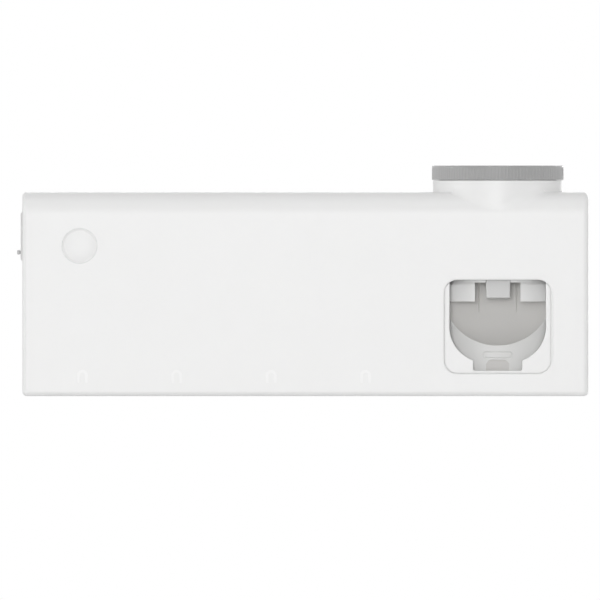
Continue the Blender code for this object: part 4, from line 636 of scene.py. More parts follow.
class Surface(Wiring):
    """A shader node group that puts out a colour, a roughness and a normal."""

    def __init__(self, name: str, inputs: Sequence[tuple[str, str, object]]) -> None:
        """Opens a group.

        Args:
            name: The group's name.
            inputs: (name, kind of socket, first value) of each input.
        """
        tree = bpy.data.node_groups.new(name, "ShaderNodeTree")
        super().__init__(tree, inputs)
        for title, kind in (("Colour", "Color"), ("Roughness", "Float"), ("Normal", "Vector")):
            tree.interface.new_socket(title, in_out="OUTPUT", socket_type=f"NodeSocket{kind}")

    def close(self, amount: Socket, gloss: Socket, relief: Socket, strength: Socket, distance: float) -> Tree:
        """Ends the group with its shaded colour, its gloss and its relief.

        Args:
            amount: How far the colour goes over to the shade.
            gloss: The roughness.
            relief: The height of the surface's relief.
            strength: How strongly the relief shows.
            distance: The relief's real height.

        Returns:
            The finished group.
        """
        colours = {0: amount, 6: self.given["Colour"], 7: self.given["Shade"]}
        blend = self.add("ShaderNodeMix", colours, data_type="RGBA").outputs[2]
        bump = self.add("ShaderNodeBump", {"Strength": strength, "Distance": distance, "Height": relief})
        self.add("NodeGroupOutput", {"Colour": blend, "Roughness": gloss, "Normal": bump.outputs[0]})
        return self.tree


@cache
def moulded_group() -> Tree:
    """Moulded plastic: a faint cloud in the colour, handling marks in the gloss and a fine eroded grain."""
    group = Surface(
        "moulded_plastic",
        [
            ("Colour", "Color", (0.8, 0.8, 0.8, 1)), ("Shade", "Color", (0.7, 0.7, 0.7, 1)),
            ("Cloud", "Float", 0.3), ("Roughness", "Float", 0.4), ("Rubbing", "Float", 0.08),
            ("Grain Scale", "Float", 2600.0), ("Grain Height", "Float", 0.1),
        ],
    )
    given = group.given
    where = group.add("ShaderNodeTexCoord").outputs["Object"]
    cloud = group.add("ShaderNodeTexNoise", {"Vector": where, "Scale": 34, "Detail": 4}).outputs[0]
    amount = group.calculated("MULTIPLY", cloud, given["Cloud"])
    marks = {"Vector": where, "Scale": 110, "Detail": 6, "Roughness": 0.7}
    rub = group.calculated("SUBTRACT", group.add("ShaderNodeTexNoise", marks).outputs[0], 0.5)
    gloss = group.calculated("MULTIPLY_ADD", rub, given["Rubbing"], given["Roughness"])
    grain = group.add("ShaderNodeTexNoise", {"Vector": where, "Scale": given["Grain Scale"], "Detail": 2})
    return group.close(amount, gloss, grain.outputs[0], given["Grain Height"], 0.00003)


@cache
def drawn_metal_group() -> Tree:
    """Rolled or drawn metal: long faint streaks along one axis in colour, gloss and surface."""
    group = Surface(
        "drawn_metal",
        [
            ("Colour", "Color", (0.6, 0.6, 0.6, 1)), ("Shade", "Color", (0.4, 0.4, 0.4, 1)),
            ("Roughness", "Float", 0.3), ("Streak Size", "Vector", (40.0, 1600.0, 1600.0)),
            ("Streak Height", "Float", 0.2),
        ],
    )
    given = group.given
    where = group.add("ShaderNodeTexCoord").outputs["Object"]
    drawn = group.add("ShaderNodeMapping", {"Vector": where, "Scale": given["Streak Size"]}).outputs[0]
    streak = group.add("ShaderNodeTexNoise", {"Vector": drawn, "Scale": 1, "Detail": 3}).outputs[0]
    gloss = group.calculated("MULTIPLY_ADD", streak, 0.12, given["Roughness"])
    return group.close(streak, gloss, streak, given["Streak Height"], 0.00002)


# Finishes


def with_alpha(colour: Colour) -> tuple[float, float, float, float]:
    """A colour with full alpha."""
    return (*colour, 1.0)


def blank(name: str) -> tuple[bpy.types.Material, Wiring, bpy.types.Node]:
    """A new material with its wiring and its Principled shader."""
    mat = bpy.data.materials.new(name)
    mat.use_nodes = True
    return mat, Wiring(mat.node_tree), mat.node_tree.nodes["Principled BSDF"]


def surfaced(name: str, group: Tree, values: dict[str, object], own: dict[str, float]) -> bpy.types.Material:
    """A material whose colour, gloss and surface come from a shared group.

    Args:
        name: The material's name.
        group: The shader group.
        values: Values for the group, by input name.
        own: Values for the Principled shader itself, by input name.

    Returns:
        The material.
    """
    mat, wires, shader = blank(name)
    given = wires.add("ShaderNodeGroup", values, node_tree=group).outputs
    wires.feed(shader, {"Base Color": given["Colour"], "Roughness": given["Roughness"]})
    wires.feed(shader, {"Normal": given["Normal"], **own})
    return mat


@dataclass(frozen=True)
class Plastic:
    """A moulded plastic or rubber finish."""

    name: str
    slot: Slot
    colour: Colour
    shade: Colour
    roughness: float
    cloud: float = 0.35
    rubbing: float = 0.08
    grain_scale: float = 2600.0
    grain_height: float = 0.1
    coat: float = 0.0
    coat_roughness: float = 0.12
    sheen: float = 0.0
    scatter: float = 0.3

    def material(self) -> bpy.types.Material:
        """The material, with its grain and gloss from the shared group."""
        values = {
            "Colour": with_alpha(self.colour), "Shade": with_alpha(self.shade), "Cloud": self.cloud,
            "Roughness": self.roughness, "Rubbing": self.rubbing, "Grain Scale": self.grain_scale,
            "Grain Height": self.grain_height,
        }
        own = {
            "Coat Weight": self.coat, "Coat Roughness": self.coat_roughness, "Sheen Weight": self.sheen,
            "Diffuse Roughness": self.scatter,
        }
        return surfaced(self.name, moulded_group(), values, own)


@dataclass(frozen=True)
class Metal:
    """A rolled, drawn or plated metal finish."""

    name: str
    slot: Slot
    colour: Colour
    shade: Colour
    roughness: float
    streaks: Place = (40.0, 1600.0, 1600.0)
    streak_height: float = 0.2

    def material(self) -> bpy.types.Material:
        """The material, with its streaks from the shared group."""
        values = {
            "Colour": with_alpha(self.colour), "Shade": with_alpha(self.shade), "Roughness": self.roughness,
            "Streak Size": self.streaks, "Streak Height": self.streak_height,
        }
        return surfaced(self.name, drawn_metal_group(), values, {"Metallic": 1.0})


@dataclass(frozen=True)
class LampGlass:
    """Clear lamp tube with a faint frost and a cool tint."""

    name: str = "lamp_tube_glass"
    slot: Slot = Slot.GLASS
    colour: Colour = (0.86, 0.91, 0.97)
    shade: Colour = (0.78, 0.85, 0.93)
    roughness: float = 0.05
    clearness: float = 0.85

    def material(self) -> bpy.types.Material:
        """The glass, with its frost from the moulded group."""
        values = {
            "Colour": with_alpha(self.colour), "Shade": with_alpha(self.shade), "Cloud": 0.6,
            "Roughness": self.roughness, "Rubbing": 0.04, "Grain Scale": 900.0, "Grain Height": 0.03,
        }
        own = {"Transmission Weight": self.clearness, "IOR": 1.47}
        return surfaced(self.name, moulded_group(), values, own)


@dataclass(frozen=True)
class SolderMask:
    """Green board lacquer with copper runs showing as a fine raised maze."""

    name: str = "board_solder_mask"
    slot: Slot = Slot.BOARD
    colour: Colour = (0.02, 0.20, 0.09)
    run_colour: Colour = (0.05, 0.33, 0.15)
    edges: Point = (0.42, 0.48)

    def material(self) -> bpy.types.Material:
        """The lacquer, with its runs drawn by a cell pattern."""
        mat, wires, shader = blank(self.name)
        where = wires.add("ShaderNodeTexCoord").outputs["Object"]
        values = {"Vector": where, "Scale": 420}
        cells = wires.add("ShaderNodeTexVoronoi", values, distance="CHEBYCHEV", feature="F1")
        ramp = wires.add("ShaderNodeValToRGB", {0: cells.outputs["Distance"]})
        for stop, place, colour in zip(ramp.color_ramp.elements, self.edges, (self.colour, self.run_colour)):
            stop.position = place
            stop.color = with_alpha(colour)
        runs = ramp.outputs[0]
        bump = wires.add("ShaderNodeBump", {"Strength": 0.3, "Distance": 0.00003, "Height": runs})
        wires.feed(shader, {"Base Color": runs, "Normal": bump.outputs[0], "Roughness": 0.32})
        return mat


WHITE_SHELL = Plastic("white_shell", Slot.WHITE, (0.86, 0.86, 0.857), (0.845, 0.845, 0.842), 0.42)
WHITE_BUTTON = Plastic(
    "white_button", Slot.WHITE, (0.85, 0.85, 0.847), (0.838, 0.838, 0.835), 0.42, grain_height=0.05
)
WHITE_FRAME = Plastic(
    "white_frame", Slot.WHITE, (0.85, 0.85, 0.847), (0.835, 0.835, 0.832), 0.42, grain_height=0.05
)
WHITE_MARK = Plastic(
    "white_mark", Slot.WHITE, (0.89, 0.89, 0.888), (0.875, 0.875, 0.873), 0.38, grain_height=0.03
)
WHITE_COVER = Plastic(
    "white_cover", Slot.WHITE, (0.85, 0.85, 0.845), (0.825, 0.825, 0.82), 0.48, grain_height=0.2
)
WHITE_BRACKET = Plastic(
    "white_bracket", Slot.WHITE, (0.83, 0.83, 0.825), (0.80, 0.80, 0.795), 0.5, grain_height=0.2
)
GREY_RING = Plastic(
    "grey_grip", Slot.GREY, (0.415, 0.415, 0.415), (0.395, 0.395, 0.395), 0.46, grain_height=0.15, sheen=0.3,
    scatter=0.9,
)
WARM_PLATE = Plastic(
    "warm_push_plate", Slot.WARM, (0.70, 0.69, 0.672), (0.675, 0.665, 0.647), 0.5, grain_height=0.15
)
CLOUD_CUP = Plastic(
    "cloud_cup", Slot.CLOUD, (0.745, 0.745, 0.737), (0.725, 0.725, 0.717), 0.48, grain_height=0.04, sheen=0.6,
    scatter=1.0,
)
CLOUD_SPOUT = Plastic(
    "cloud_spout", Slot.CLOUD, (0.67, 0.67, 0.665), (0.655, 0.655, 0.65), 0.48, grain_height=0.04, scatter=0.8
)
# Whiter than the cup it is cut from: partly a white moulding, partly painted light that lifts the blocks out
# of the shade under the window's top edge.
WHITE_COLLAR_PAINTED_LIGHT = Plastic(
    "white_collar", Slot.WHITE, (0.87, 0.87, 0.865), (0.855, 0.855, 0.85), 0.48, grain_height=0.05, sheen=0.3,
    scatter=0.8,
)
# Warm like the push plate but darker: painted shade for the drain arch's hollow, on an insert that fills it.
WARM_ARCH_SHADE = Plastic(
    "warm_drain_plug", Slot.WARM, (0.60, 0.59, 0.575), (0.57, 0.56, 0.545), 0.55, grain_height=0.15
)
GREY_KNOB = Plastic("grey_knob", Slot.GREY, (0.58, 0.58, 0.585), (0.54, 0.54, 0.545), 0.5, grain_height=0.3)
DARK_INNER = Plastic(
    "dark_inner", Slot.DARK, (0.075, 0.075, 0.08), (0.05, 0.05, 0.055), 0.55, grain_height=0.3
)
PALE_SILICONE = Plastic(
    "pale_silicone", Slot.SILICONE, (0.72, 0.72, 0.715), (0.66, 0.66, 0.655), 0.62, grain_scale=1400,
    grain_height=0.25,
)
CELL_FILM = Plastic(
    "cell_film", Slot.CELL, (0.07, 0.28, 0.50), (0.04, 0.20, 0.40), 0.28, rubbing=0.15, coat=0.5
)
FOAM_TAPE = Plastic(
    "foam_tape", Slot.FOAM, (0.74, 0.74, 0.73), (0.58, 0.58, 0.57), 0.9, cloud=0.6, grain_scale=1100,
    grain_height=0.8,
)
PLAIN_STEEL = Metal("plain_steel", Slot.STEEL, (0.62, 0.62, 0.63), (0.52, 0.52, 0.53), 0.26)
SPRING_STEEL = Metal(
    "spring_steel", Slot.STEEL, (0.60, 0.60, 0.62), (0.48, 0.48, 0.50), 0.22, (300.0, 300.0, 900.0)
)
BRIGHT_SHEET = Metal(
    "bright_sheet", Slot.BRIGHT, (0.86, 0.86, 0.87), (0.76, 0.76, 0.77), 0.16, (30.0, 900.0, 900.0), 0.12
)
LAMP_GLASS = LampGlass()
BOARD_MASK = SolderMask()


def dressed(obj: Piece, mat: bpy.types.Material) -> Piece:
    """Gives a piece one material.

    Args:
        obj: The piece.
        mat: Its material.

    Returns:
        The same piece.
    """
    obj.data.materials.clear()
    obj.data.materials.append(mat)
    return obj


class Workshop:
    """Keeps the materials, hangs finished pieces on their bodies and reports them."""

    def __init__(self) -> None:
        """Starts with no material made."""
        self.materials: dict[str, bpy.types.Material] = {}

    def paint(self, finish: object) -> bpy.types.Material:
        """The material of a finish, made once."""
        if finish.name not in self.materials:
            self.materials[finish.name] = finish.material()
        return self.materials[finish.name]

    def hang(self, obj: Piece, finish: object, body: str, *nodes: str) -> Piece:
        """Finishes a piece: material, body and the nodes it stands for.

        Args:
            obj: The piece, at the origin.
            finish: Its finish.
            body: The body that it rides on.
            nodes: The solids that it replaces.

        Returns:
            The piece.
        """
        dressed(obj, self.paint(finish))
        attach(obj, body)
        if nodes:
            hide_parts(*nodes)
        solids = ", ".join(nodes) or "no solid"
        log.info("%s rides on %s, %d faces, for %s", obj.name, body, len(obj.data.polygons), solids)
        return obj

    def dress(self, finish: object, *nodes: str) -> None:
        """Puts a finish on carried-over solids.

        Args:
            finish: Their finish.
            nodes: The solids' names.
        """
        for node in nodes:
            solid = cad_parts[node]
            if not solid.material_slots:
                solid.data.materials.append(self.paint(finish))
            for holder in solid.material_slots:
                holder.material = self.paint(finish)
            log.info("%s wears %s", node, finish.name)


# Sub-assemblies


@dataclass
class Housing:
    """The white front shell: rounded box, blended neck, window, button hole, ports and marks."""

    left: float = -HALF_WIDTH
    right: float = HALF_WIDTH
    front: float = FRONT
    back: float = -0.0042
    bottom: float = -HALF_HEIGHT
    top: float = HALF_HEIGHT
    wall: float = 0.0022
    top_radius: float = 0.011
    edge_radius: float = 0.0023
    neck_radius: float = 0.03235
    neck_top: float = 0.0569
    neck_root: Point = (0.0004, 0.0012)
    neck_foot: Point = (0.0012, 0.0016)
    bore_radius: float = 0.03015
    bore_sink: float = 0.012
    fillet_side: float = 0.0016
    fillet_front: float = 0.028
    fillet_focus: float = 8.0
    fillet_sink: float = 0.000012
    least_forward: float = 0.05
    roof_pitch: float = 0.00005
    roof_reach: float = 0.012
    face_pitch: float = 0.004
    window_half: float = 0.0267
    window_low: float = -0.03974
    window_top: float = 0.0071
    window_corner: float = 0.0065
    window_edge: float = 0.001
    window_depth: float = 0.4
    button_edge: float = 0.00012
    button_hole: float = 0.0088
    guide_wall: float = 0.0014
    guide_depth: float = 0.0018
    port_radius: float = 0.012
    hole_edge: float = 0.0003
    partition_x: float = 0.059
    partition_wall: float = 0.0018
    partition_back: float = -0.0067
    boss_radius: float = 0.0035
    screw_way: float = 0.0015
    boss_hole_depth: float = 0.011
    side_low: Place = (-0.15, -0.0413, 0.01595)
    side_high: Place = (-0.1385, -0.0287, 0.04155)
    mark_width: float = 0.0053
    mark_height: float = 0.0065
    mark_stroke: float = 0.0013
    mark_proud: float = 0.00024
    mark_edge: float = 0.0001
    mark_low: float = -0.0445
    top_steps: int = 24
    edge_steps: int = 6

    def block(
        self, name: str, low: Place, high: Place, top_radius: float, edge_radius: float = 0.0,
        cuts: Sequence[float] = (),
    ) -> Piece:
        """The housing's outer or inner form.

        Args:
            name: The piece's name.
            low: Lowest corner.
            high: Highest corner.
            top_radius: Radius along the top front edge.
            edge_radius: Radius along the ends and the bottom front edge, none if zero.
            cuts: Places along X where the faces are divided, so that shading near a join stays local.

        Returns:
            The form.
        """
        bm = cube(low, high)
        crest = [edge for edge in bm.edges if lies_at(edge, 1, low[1]) and lies_at(edge, 2, high[2])]
        bevelled(bm, crest, top_radius, self.top_steps)
        if edge_radius:
            sides = [e for e in bm.edges if lies_at(e, 0, low[0]) or lies_at(e, 0, high[0])]
            ends = [e for e in sides if not lies_at(e, 1, high[1])]
            ends += [e for e in bm.edges if lies_at(e, 1, low[1]) and lies_at(e, 2, low[2])]
            bevelled(bm, ends, edge_radius, self.edge_steps)
        for x in cuts:
            everything = [*bm.verts, *bm.edges, *bm.faces]
            bmesh.ops.bisect_plane(
                bm, geom=everything, dist=SLACK / 10, plane_co=(x, 0, 0), plane_no=(1, 0, 0)
            )
        return made(name, bm)

    def roof_line(self, angle: float) -> list[Point]:
        """Where the housing's top and rounded front run in one radial plane of the neck.

        Args:
            angle: Direction from the neck's axis.

        Returns:
            (distance from the axis, height) points, from the neck's wall outwards.
        """
        bend = self.front + self.top_radius
        shoulder = self.top - self.top_radius
        forward = math.sin(angle)
        line = []
        for step in range(round(self.roof_reach / self.roof_pitch) + 1):
            reach = self.neck_radius + step * self.roof_pitch
            if NECK_Y + reach * forward >= bend:
                line.append((reach, self.top))
        if forward < -self.least_forward:
            for quarter_degree in range(4 * 90 + 1):
                turn = math.radians(quarter_degree / 4)
                reach = (bend - self.top_radius * math.sin(turn) - NECK_Y) / forward
                if reach >= self.neck_radius:
                    line.append((reach, shoulder + self.top_radius * math.cos(turn)))
            if not line:
                line.append((self.neck_radius, shoulder))
        return line

    def fillet(self, angle: float, radius: float) -> list[Point]:
        """The blend between the neck's wall and the roof in one radial plane.

        Args:
            angle: Direction from the neck's axis.
            radius: Radius of the blend.

        Returns:
            (distance from the axis, height) points from the wall down to where it touches the roof.
        """
        samples = self.roof_line(angle)
        across = self.neck_radius + radius
        low, high = self.top - self.top_radius - PAST, self.top + radius + PAST / 2
        spot = samples[0]
        halvings = 40
        for _ in range(halvings):
            middle = (low + high) / 2
            spot = min(samples, key=lambda s: math.hypot(s[0] - across, s[1] - middle))
            if math.hypot(spot[0] - across, spot[1] - middle) > radius:
                high = middle
            else:
                low = middle
        end = math.degrees(math.atan2(spot[1] - high, spot[0] - across)) % 360
        deep = radius + self.fillet_sink
        least_sweep = 4
        return arc((across, high), (deep, deep), 180, max(end, 180 + least_sweep), 10)

    def neck(self) -> Piece:
        """The neck with its blend into the roof, wider towards the front."""
        bm = bmesh.new()
        columns = []
        for step in range(ROUND_STEPS):
            angle = math.tau * step / ROUND_STEPS
            across, along = math.cos(angle), math.sin(angle)
            frontness = max(0.0, -along) ** self.fillet_focus
            radius = self.fillet_side + (self.fillet_front - self.fillet_side) * frontness
            profile = [(self.neck_radius, self.neck_top), *self.fillet(angle, radius)]
            last = profile[-1]
            profile.append((last[0] - self.neck_root[0], last[1] - self.neck_root[1]))
            profile.append((self.neck_radius - self.neck_foot[0], last[1] - self.neck_foot[1]))
            columns.append([bm.verts.new((NECK_X + r * across, NECK_Y + r * along, z)) for r, z in profile])
        return skinned("neck", bm, list(zip(*columns)))

    def inner_block(self, name: str, grow: float) -> Piece:
        """The form of the shell's inside, open to the back.

        Args:
            name: The piece's name.
            grow: How far it reaches into the walls.

        Returns:
            The form.
        """
        inset = self.wall - grow
        low = (self.left + inset, self.front + inset, self.bottom + inset)
        high = (self.right - inset, PAST, self.top - inset)
        return self.block(name, low, high, self.top_radius - inset)

    def insides(self) -> Piece:
        """Partition, screw bosses and button guide inside the shell."""
        inner_front = self.front + self.wall
        reach = inner_front - 2 * BITE
        half = self.partition_wall / 2
        inner_half = HALF_HEIGHT - self.wall + 2 * BITE
        body = box(
            "partition", (self.partition_x - half, reach, -inner_half),
            (self.partition_x + half, self.partition_back, inner_half),
        )
        for z in BOSS_ROWS:
            for x in BOSS_COLUMNS:
                combine(body, Joining.ADD, rod("boss", self.boss_radius, (x, reach, z), (x, self.back, z)))
        guide = rod(
            "guide", self.button_hole + self.guide_wall, (BUTTON_X, reach, BUTTON_Z),
            (BUTTON_X, inner_front + self.guide_depth, BUTTON_Z),
        )
        combine(body, Joining.ADD, guide)
        return combine(body, Joining.KEEP, self.inner_block("inner_form", BITE))

    def open_up(self, shell: Piece) -> None:
        """Cuts every hole in the shell.

        Args:
            shell: The shell so far.
        """
        outside = self.front - PAST
        inside = self.front + self.wall + THROUGH
        bore = rod(
            "bore", self.bore_radius, (NECK_X, NECK_Y, self.top - self.bore_sink),
            (NECK_X, NECK_Y, self.neck_top + PAST), ROUND_STEPS,
        )
        window = box(
            "window", (NECK_X - self.window_half, outside, self.window_low),
            (NECK_X + self.window_half, inside, self.window_top), self.window_corner, 12, along=1,
        )
        button = rod(
            "button_hole", self.button_hole, (BUTTON_X, outside, BUTTON_Z),
            (BUTTON_X, inside + self.guide_depth + PAST, BUTTON_Z), HOLE_STEPS,
        )
        combine(shell, Joining.CUT, bore, window, button, box("side_hole", self.side_low, self.side_high))
        for x in PORT_PLACES:
            port = rod(
                "port", self.port_radius, (x, PORT_Y, self.bottom - PAST),
                (x, PORT_Y, self.bottom + self.wall + THROUGH), HOLE_STEPS,
            )
            combine(shell, Joining.CUT, port)
        for z in BOSS_ROWS:
            for x in BOSS_COLUMNS:
                hole = rod("hole", self.screw_way, (x, self.back - self.boss_hole_depth, z), (x, 0.0, z), 24)
                combine(shell, Joining.CUT, hole)

    def on_button_hole(self, edge: Edge) -> bool:
        """Whether an edge runs round the button's hole in the front face."""
        middle = midpoint(edge)
        reach = math.hypot(middle.x - BUTTON_X, middle.z - BUTTON_Z)
        return lies_at(edge, 1, self.front) and reach < self.button_hole + NEAR

    def on_window(self, edge: Edge) -> bool:
        """Whether an edge runs round the window in the front face."""
        middle = midpoint(edge)
        in_width = abs(middle.x - NECK_X) < self.window_half + NEAR
        in_height = self.window_low - NEAR < middle.z < self.window_top + NEAR
        return lies_at(edge, 1, self.front) and in_width and in_height

    def on_port(self, edge: Edge) -> bool:
        """Whether an edge runs round a brush port in the underside."""
        middle = midpoint(edge)
        reach = min(math.hypot(middle.x - x, middle.y - PORT_Y) for x in PORT_PLACES)
        return lies_at(edge, 2, self.bottom) and reach < self.port_radius + NEAR

    def on_neck_top(self, edge: Edge) -> bool:
        """Whether an edge is the neck's outer rim."""
        middle = midpoint(edge)
        reach = math.hypot(middle.x - NECK_X, middle.y - NECK_Y)
        return lies_at(edge, 2, self.neck_top) and reach > self.neck_radius - NEAR

    def build(self, shop: Workshop) -> None:
        """Makes the shell and its marks.

        Args:
            shop: Where pieces are finished.
        """
        span = self.neck_radius + self.roof_reach
        pitch = self.face_pitch
        cuts = [NECK_X - span + step * pitch for step in range(int(2 * span / pitch) + 1)]
        shell = self.block(
            "housing_shell", (self.left, self.front, self.bottom), (self.right, self.back, self.top),
            self.top_radius, self.edge_radius, [x for x in cuts if x < self.right - 2 * self.edge_radius],
        )
        combine(shell, Joining.ADD, self.neck())
        combine(shell, Joining.CUT, self.inner_block("cavity", 0.0))
        combine(shell, Joining.ADD, self.insides())
        self.open_up(shell)
        soften(shell, self.window_edge, 5, self.on_window, self.window_depth)
        soften(shell, self.button_edge, 2, self.on_button_hole)
        soften(shell, self.hole_edge, 2, self.on_port)
        soften(shell, self.hole_edge, 2, self.on_neck_top)
        shop.hang(settle(shell), WHITE_SHELL, "housing", "front_shell")
        self.marks(shop)

    def marks(self, shop: Workshop) -> None:
        """The raised arches over the brush ports.

        Args:
            shop: Where pieces are finished.
        """
        half = self.mark_width / 2
        spring = self.mark_height - half
        inner = half - self.mark_stroke
        outline = [(half, 0.0), *arc((0, spring), (half, half), 0, 180), (-half, 0.0), (-inner, 0.0)]
        outline += [*arc((0, spring), (inner, inner), 180, 0), (inner, 0.0)]
        thickness = self.mark_proud + BITE
        arch = slab("port_marks", outline, (0, 0, 0), thickness, Plane.FRONT, self.mark_edge, 2)
        values = {
            "Count": len(PORT_PLACES), "Pitch": (PORT_PITCH, 0, 0), "Material": shop.paint(WHITE_MARK),
            "Start": (PORT_PLACES[0], self.front - self.mark_proud + thickness / 2, self.mark_low),
        }
        shop.hang(settle(grown(arch, in_a_row(), values)), WHITE_MARK, "housing")


@dataclass
class WindowFrame:
    """The inset frame in the window, with its U-shaped cut and the notch below it."""

    x: float = NECK_X
    front: float = -0.0691
    face_depth: float = 0.0021
    face_root: float = 0.0006
    half: float = 0.02666
    low: float = -0.0397
    top: float = 0.0068
    corner: float = 0.00646
    flange_front: float = -0.067
    flange_back: float = -0.0657
    flange_half: float = 0.02995
    flange_low: float = -0.0433
    flange_top: float = 0.0071
    flange_corner: float = 0.0065
    cut_half: float = 0.0241
    cut_corner: float = 0.0175
    cut_sweep: float = 0.03075
    cut_centre: float = -0.00495
    notch_half: float = 0.01225
    notch_low: float = -0.0383
    notch_corner: float = 0.001
    cut_rise: float = 0.004
    cutter_depth: float = 0.04
    way_radius: float = 0.03045
    way_low: float = -0.0497
    way_top: float = 0.02
    tip: float = 0.0022
    edge: float = 0.00035
    rim: float = 0.001
    rim_depth: float = 0.4
    skirt_wall: float = 0.0012
    skirt_back: float = -0.0535

    def cut_outline(self, grow: float = 0.0) -> list[Point]:
        """The U: straight sides, a corner arc each side, a wide arc below and the notch.

        Args:
            grow: How far the outline is set outwards.

        Returns:
            The outline's points.
        """
        inset = self.cut_half - self.cut_corner
        reach = self.cut_sweep - self.cut_corner
        corner_z = self.cut_centre - math.sqrt(reach**2 - inset**2)
        lean = math.degrees(math.atan2(self.cut_centre - corner_z, inset))
        notch, side, low = self.notch_half + grow, self.cut_half + grow, self.notch_low - grow
        across = math.degrees(math.acos(notch / (self.cut_sweep + grow)))
        radii = (self.cut_corner + grow, self.cut_corner + grow)
        sweep = (self.cut_sweep + grow, self.cut_sweep + grow)
        top = self.top + self.cut_rise
        points: list[Point] = [(-side, top)]
        points += arc((-inset, corner_z), radii, 180, 180 + lean, 28)
        points += arc((0, self.cut_centre), sweep, 180 + lean, 180 + across, 10)[1:]
        (left, high), bend = points[-1], self.notch_corner
        notched = [(left, high, 0), (-notch, low, bend), (notch, low, bend), (notch, high, 0)]
        points += eased(notched, closed=False)[1:]
        points += arc((0, self.cut_centre), sweep, 360 - across, 360 - lean, 10)[1:]
        points += arc((inset, corner_z), radii, 360 - lean, 360, 28)[1:]
        points.append((side, top))
        return points

    def at_tip(self, edge: Edge) -> bool:
        """Whether an edge reaches the thin tips at the frame's top."""
        return max(vert.co.z for vert in edge.verts) > self.top - self.corner + self.tip

    def on_rim(self, edge: Edge) -> bool:
        """Whether an edge runs round the outside of the front face, short of the tips."""
        if not lies_at(edge, 1, self.front) or self.at_tip(edge):
            return False
        middle = midpoint(edge)
        across = abs(middle.x - self.x) - self.half + self.corner
        along = abs(middle.z - (self.low + self.top) / 2) - (self.top - self.low) / 2 + self.corner
        gap = math.hypot(max(across, 0.0), max(along, 0.0)) + min(max(across, along), 0.0) - self.corner
        return abs(gap) < 10 * SLACK

    def on_cut(self, edge: Edge) -> bool:
        """Whether an edge runs round the U in the front face, short of the tips."""
        if not lies_at(edge, 1, self.front) or self.on_rim(edge):
            return False
        on_arc = any(abs(vert.co.x - self.x) > self.cut_half + SLACK for vert in edge.verts)
        return not (on_arc and self.at_tip(edge))

    def build(self, shop: Workshop) -> None:
        """Makes the frame.

        Args:
            shop: Where pieces are finished.
        """
        bezel = box(
            "window_frame", (self.x - self.half, self.front, self.low),
            (self.x + self.half, self.front + self.face_depth + self.face_root, self.top), self.corner, 12,
            along=1,
        )
        flange = box(
            "flange", (self.x - self.flange_half, self.flange_front, self.flange_low),
            (self.x + self.flange_half, self.flange_back, self.flange_top), self.flange_corner, 8, along=1,
        )
        middle = (self.flange_front + self.skirt_back) / 2
        depth = self.skirt_back - self.flange_front
        skirt = slab("skirt", self.cut_outline(self.skirt_wall), (self.x, middle, 0), depth, Plane.FRONT)
        combine(bezel, Joining.ADD, flange, skirt)
        cutter = slab("u_cut", self.cut_outline(), (self.x, middle, 0), self.cutter_depth, Plane.FRONT)
        ends = ((self.x, NECK_Y, self.way_low), (self.x, NECK_Y, self.way_top))
        way = rod("sleeve_way", self.way_radius, *ends, ROUND_STEPS)
        combine(bezel, Joining.CUT, cutter, way)
        soften(bezel, self.edge, 3, self.on_cut)
        soften(bezel, self.rim, 5, self.on_rim, self.rim_depth)
        shop.hang(settle(bezel), WHITE_FRAME, "housing", "window_bezel")


@dataclass
class StartButton:
    """The round cap: flush, with a soft shallow valley all round its middle."""

    radius: float = 0.00876
    cap: float = 0.0018
    rim: float = 0.0002
    stem_radius: float = 0.003
    stem_reach: float = 0.0053
    valley_start: float = 0.003
    valley_radius: float = 0.0076
    valley_depth: float = 0.00035
    valley_power: float = 2.2

    def build(self, shop: Workshop) -> None:
        """Makes the cap and its stem.

        Args:
            shop: Where pieces are finished.
        """
        face = [(0.0, 0.0), (self.valley_start, 0.0)]
        steps = 30
        for step in range(1, steps):
            reach = self.valley_start + (self.radius - self.valley_start) * step / steps
            if reach < self.valley_radius:
                share = (reach - self.valley_start) / (self.valley_radius - self.valley_start)
                depth = share**self.valley_power
            else:
                share = (reach - self.valley_radius) / (self.radius - self.valley_radius)
                depth = math.cos(share * math.pi / 2) ** 2
            face.append((reach, -self.valley_depth * depth))
        lip = [
            (self.radius, face[-1][1]), (self.radius, -self.cap + self.rim),
            (self.radius - self.rim, -self.cap), (self.stem_radius, -self.cap),
        ]
        tail = [(self.stem_radius, -self.stem_reach), (0.0, -self.stem_reach)]
        cap = turned("button_cap", [*face, *lip, *tail], (BUTTON_X, FRONT, BUTTON_Z), Plane.FRONT, 128)
        shop.hang(settle(cap), WHITE_BUTTON, "button", "start_button")


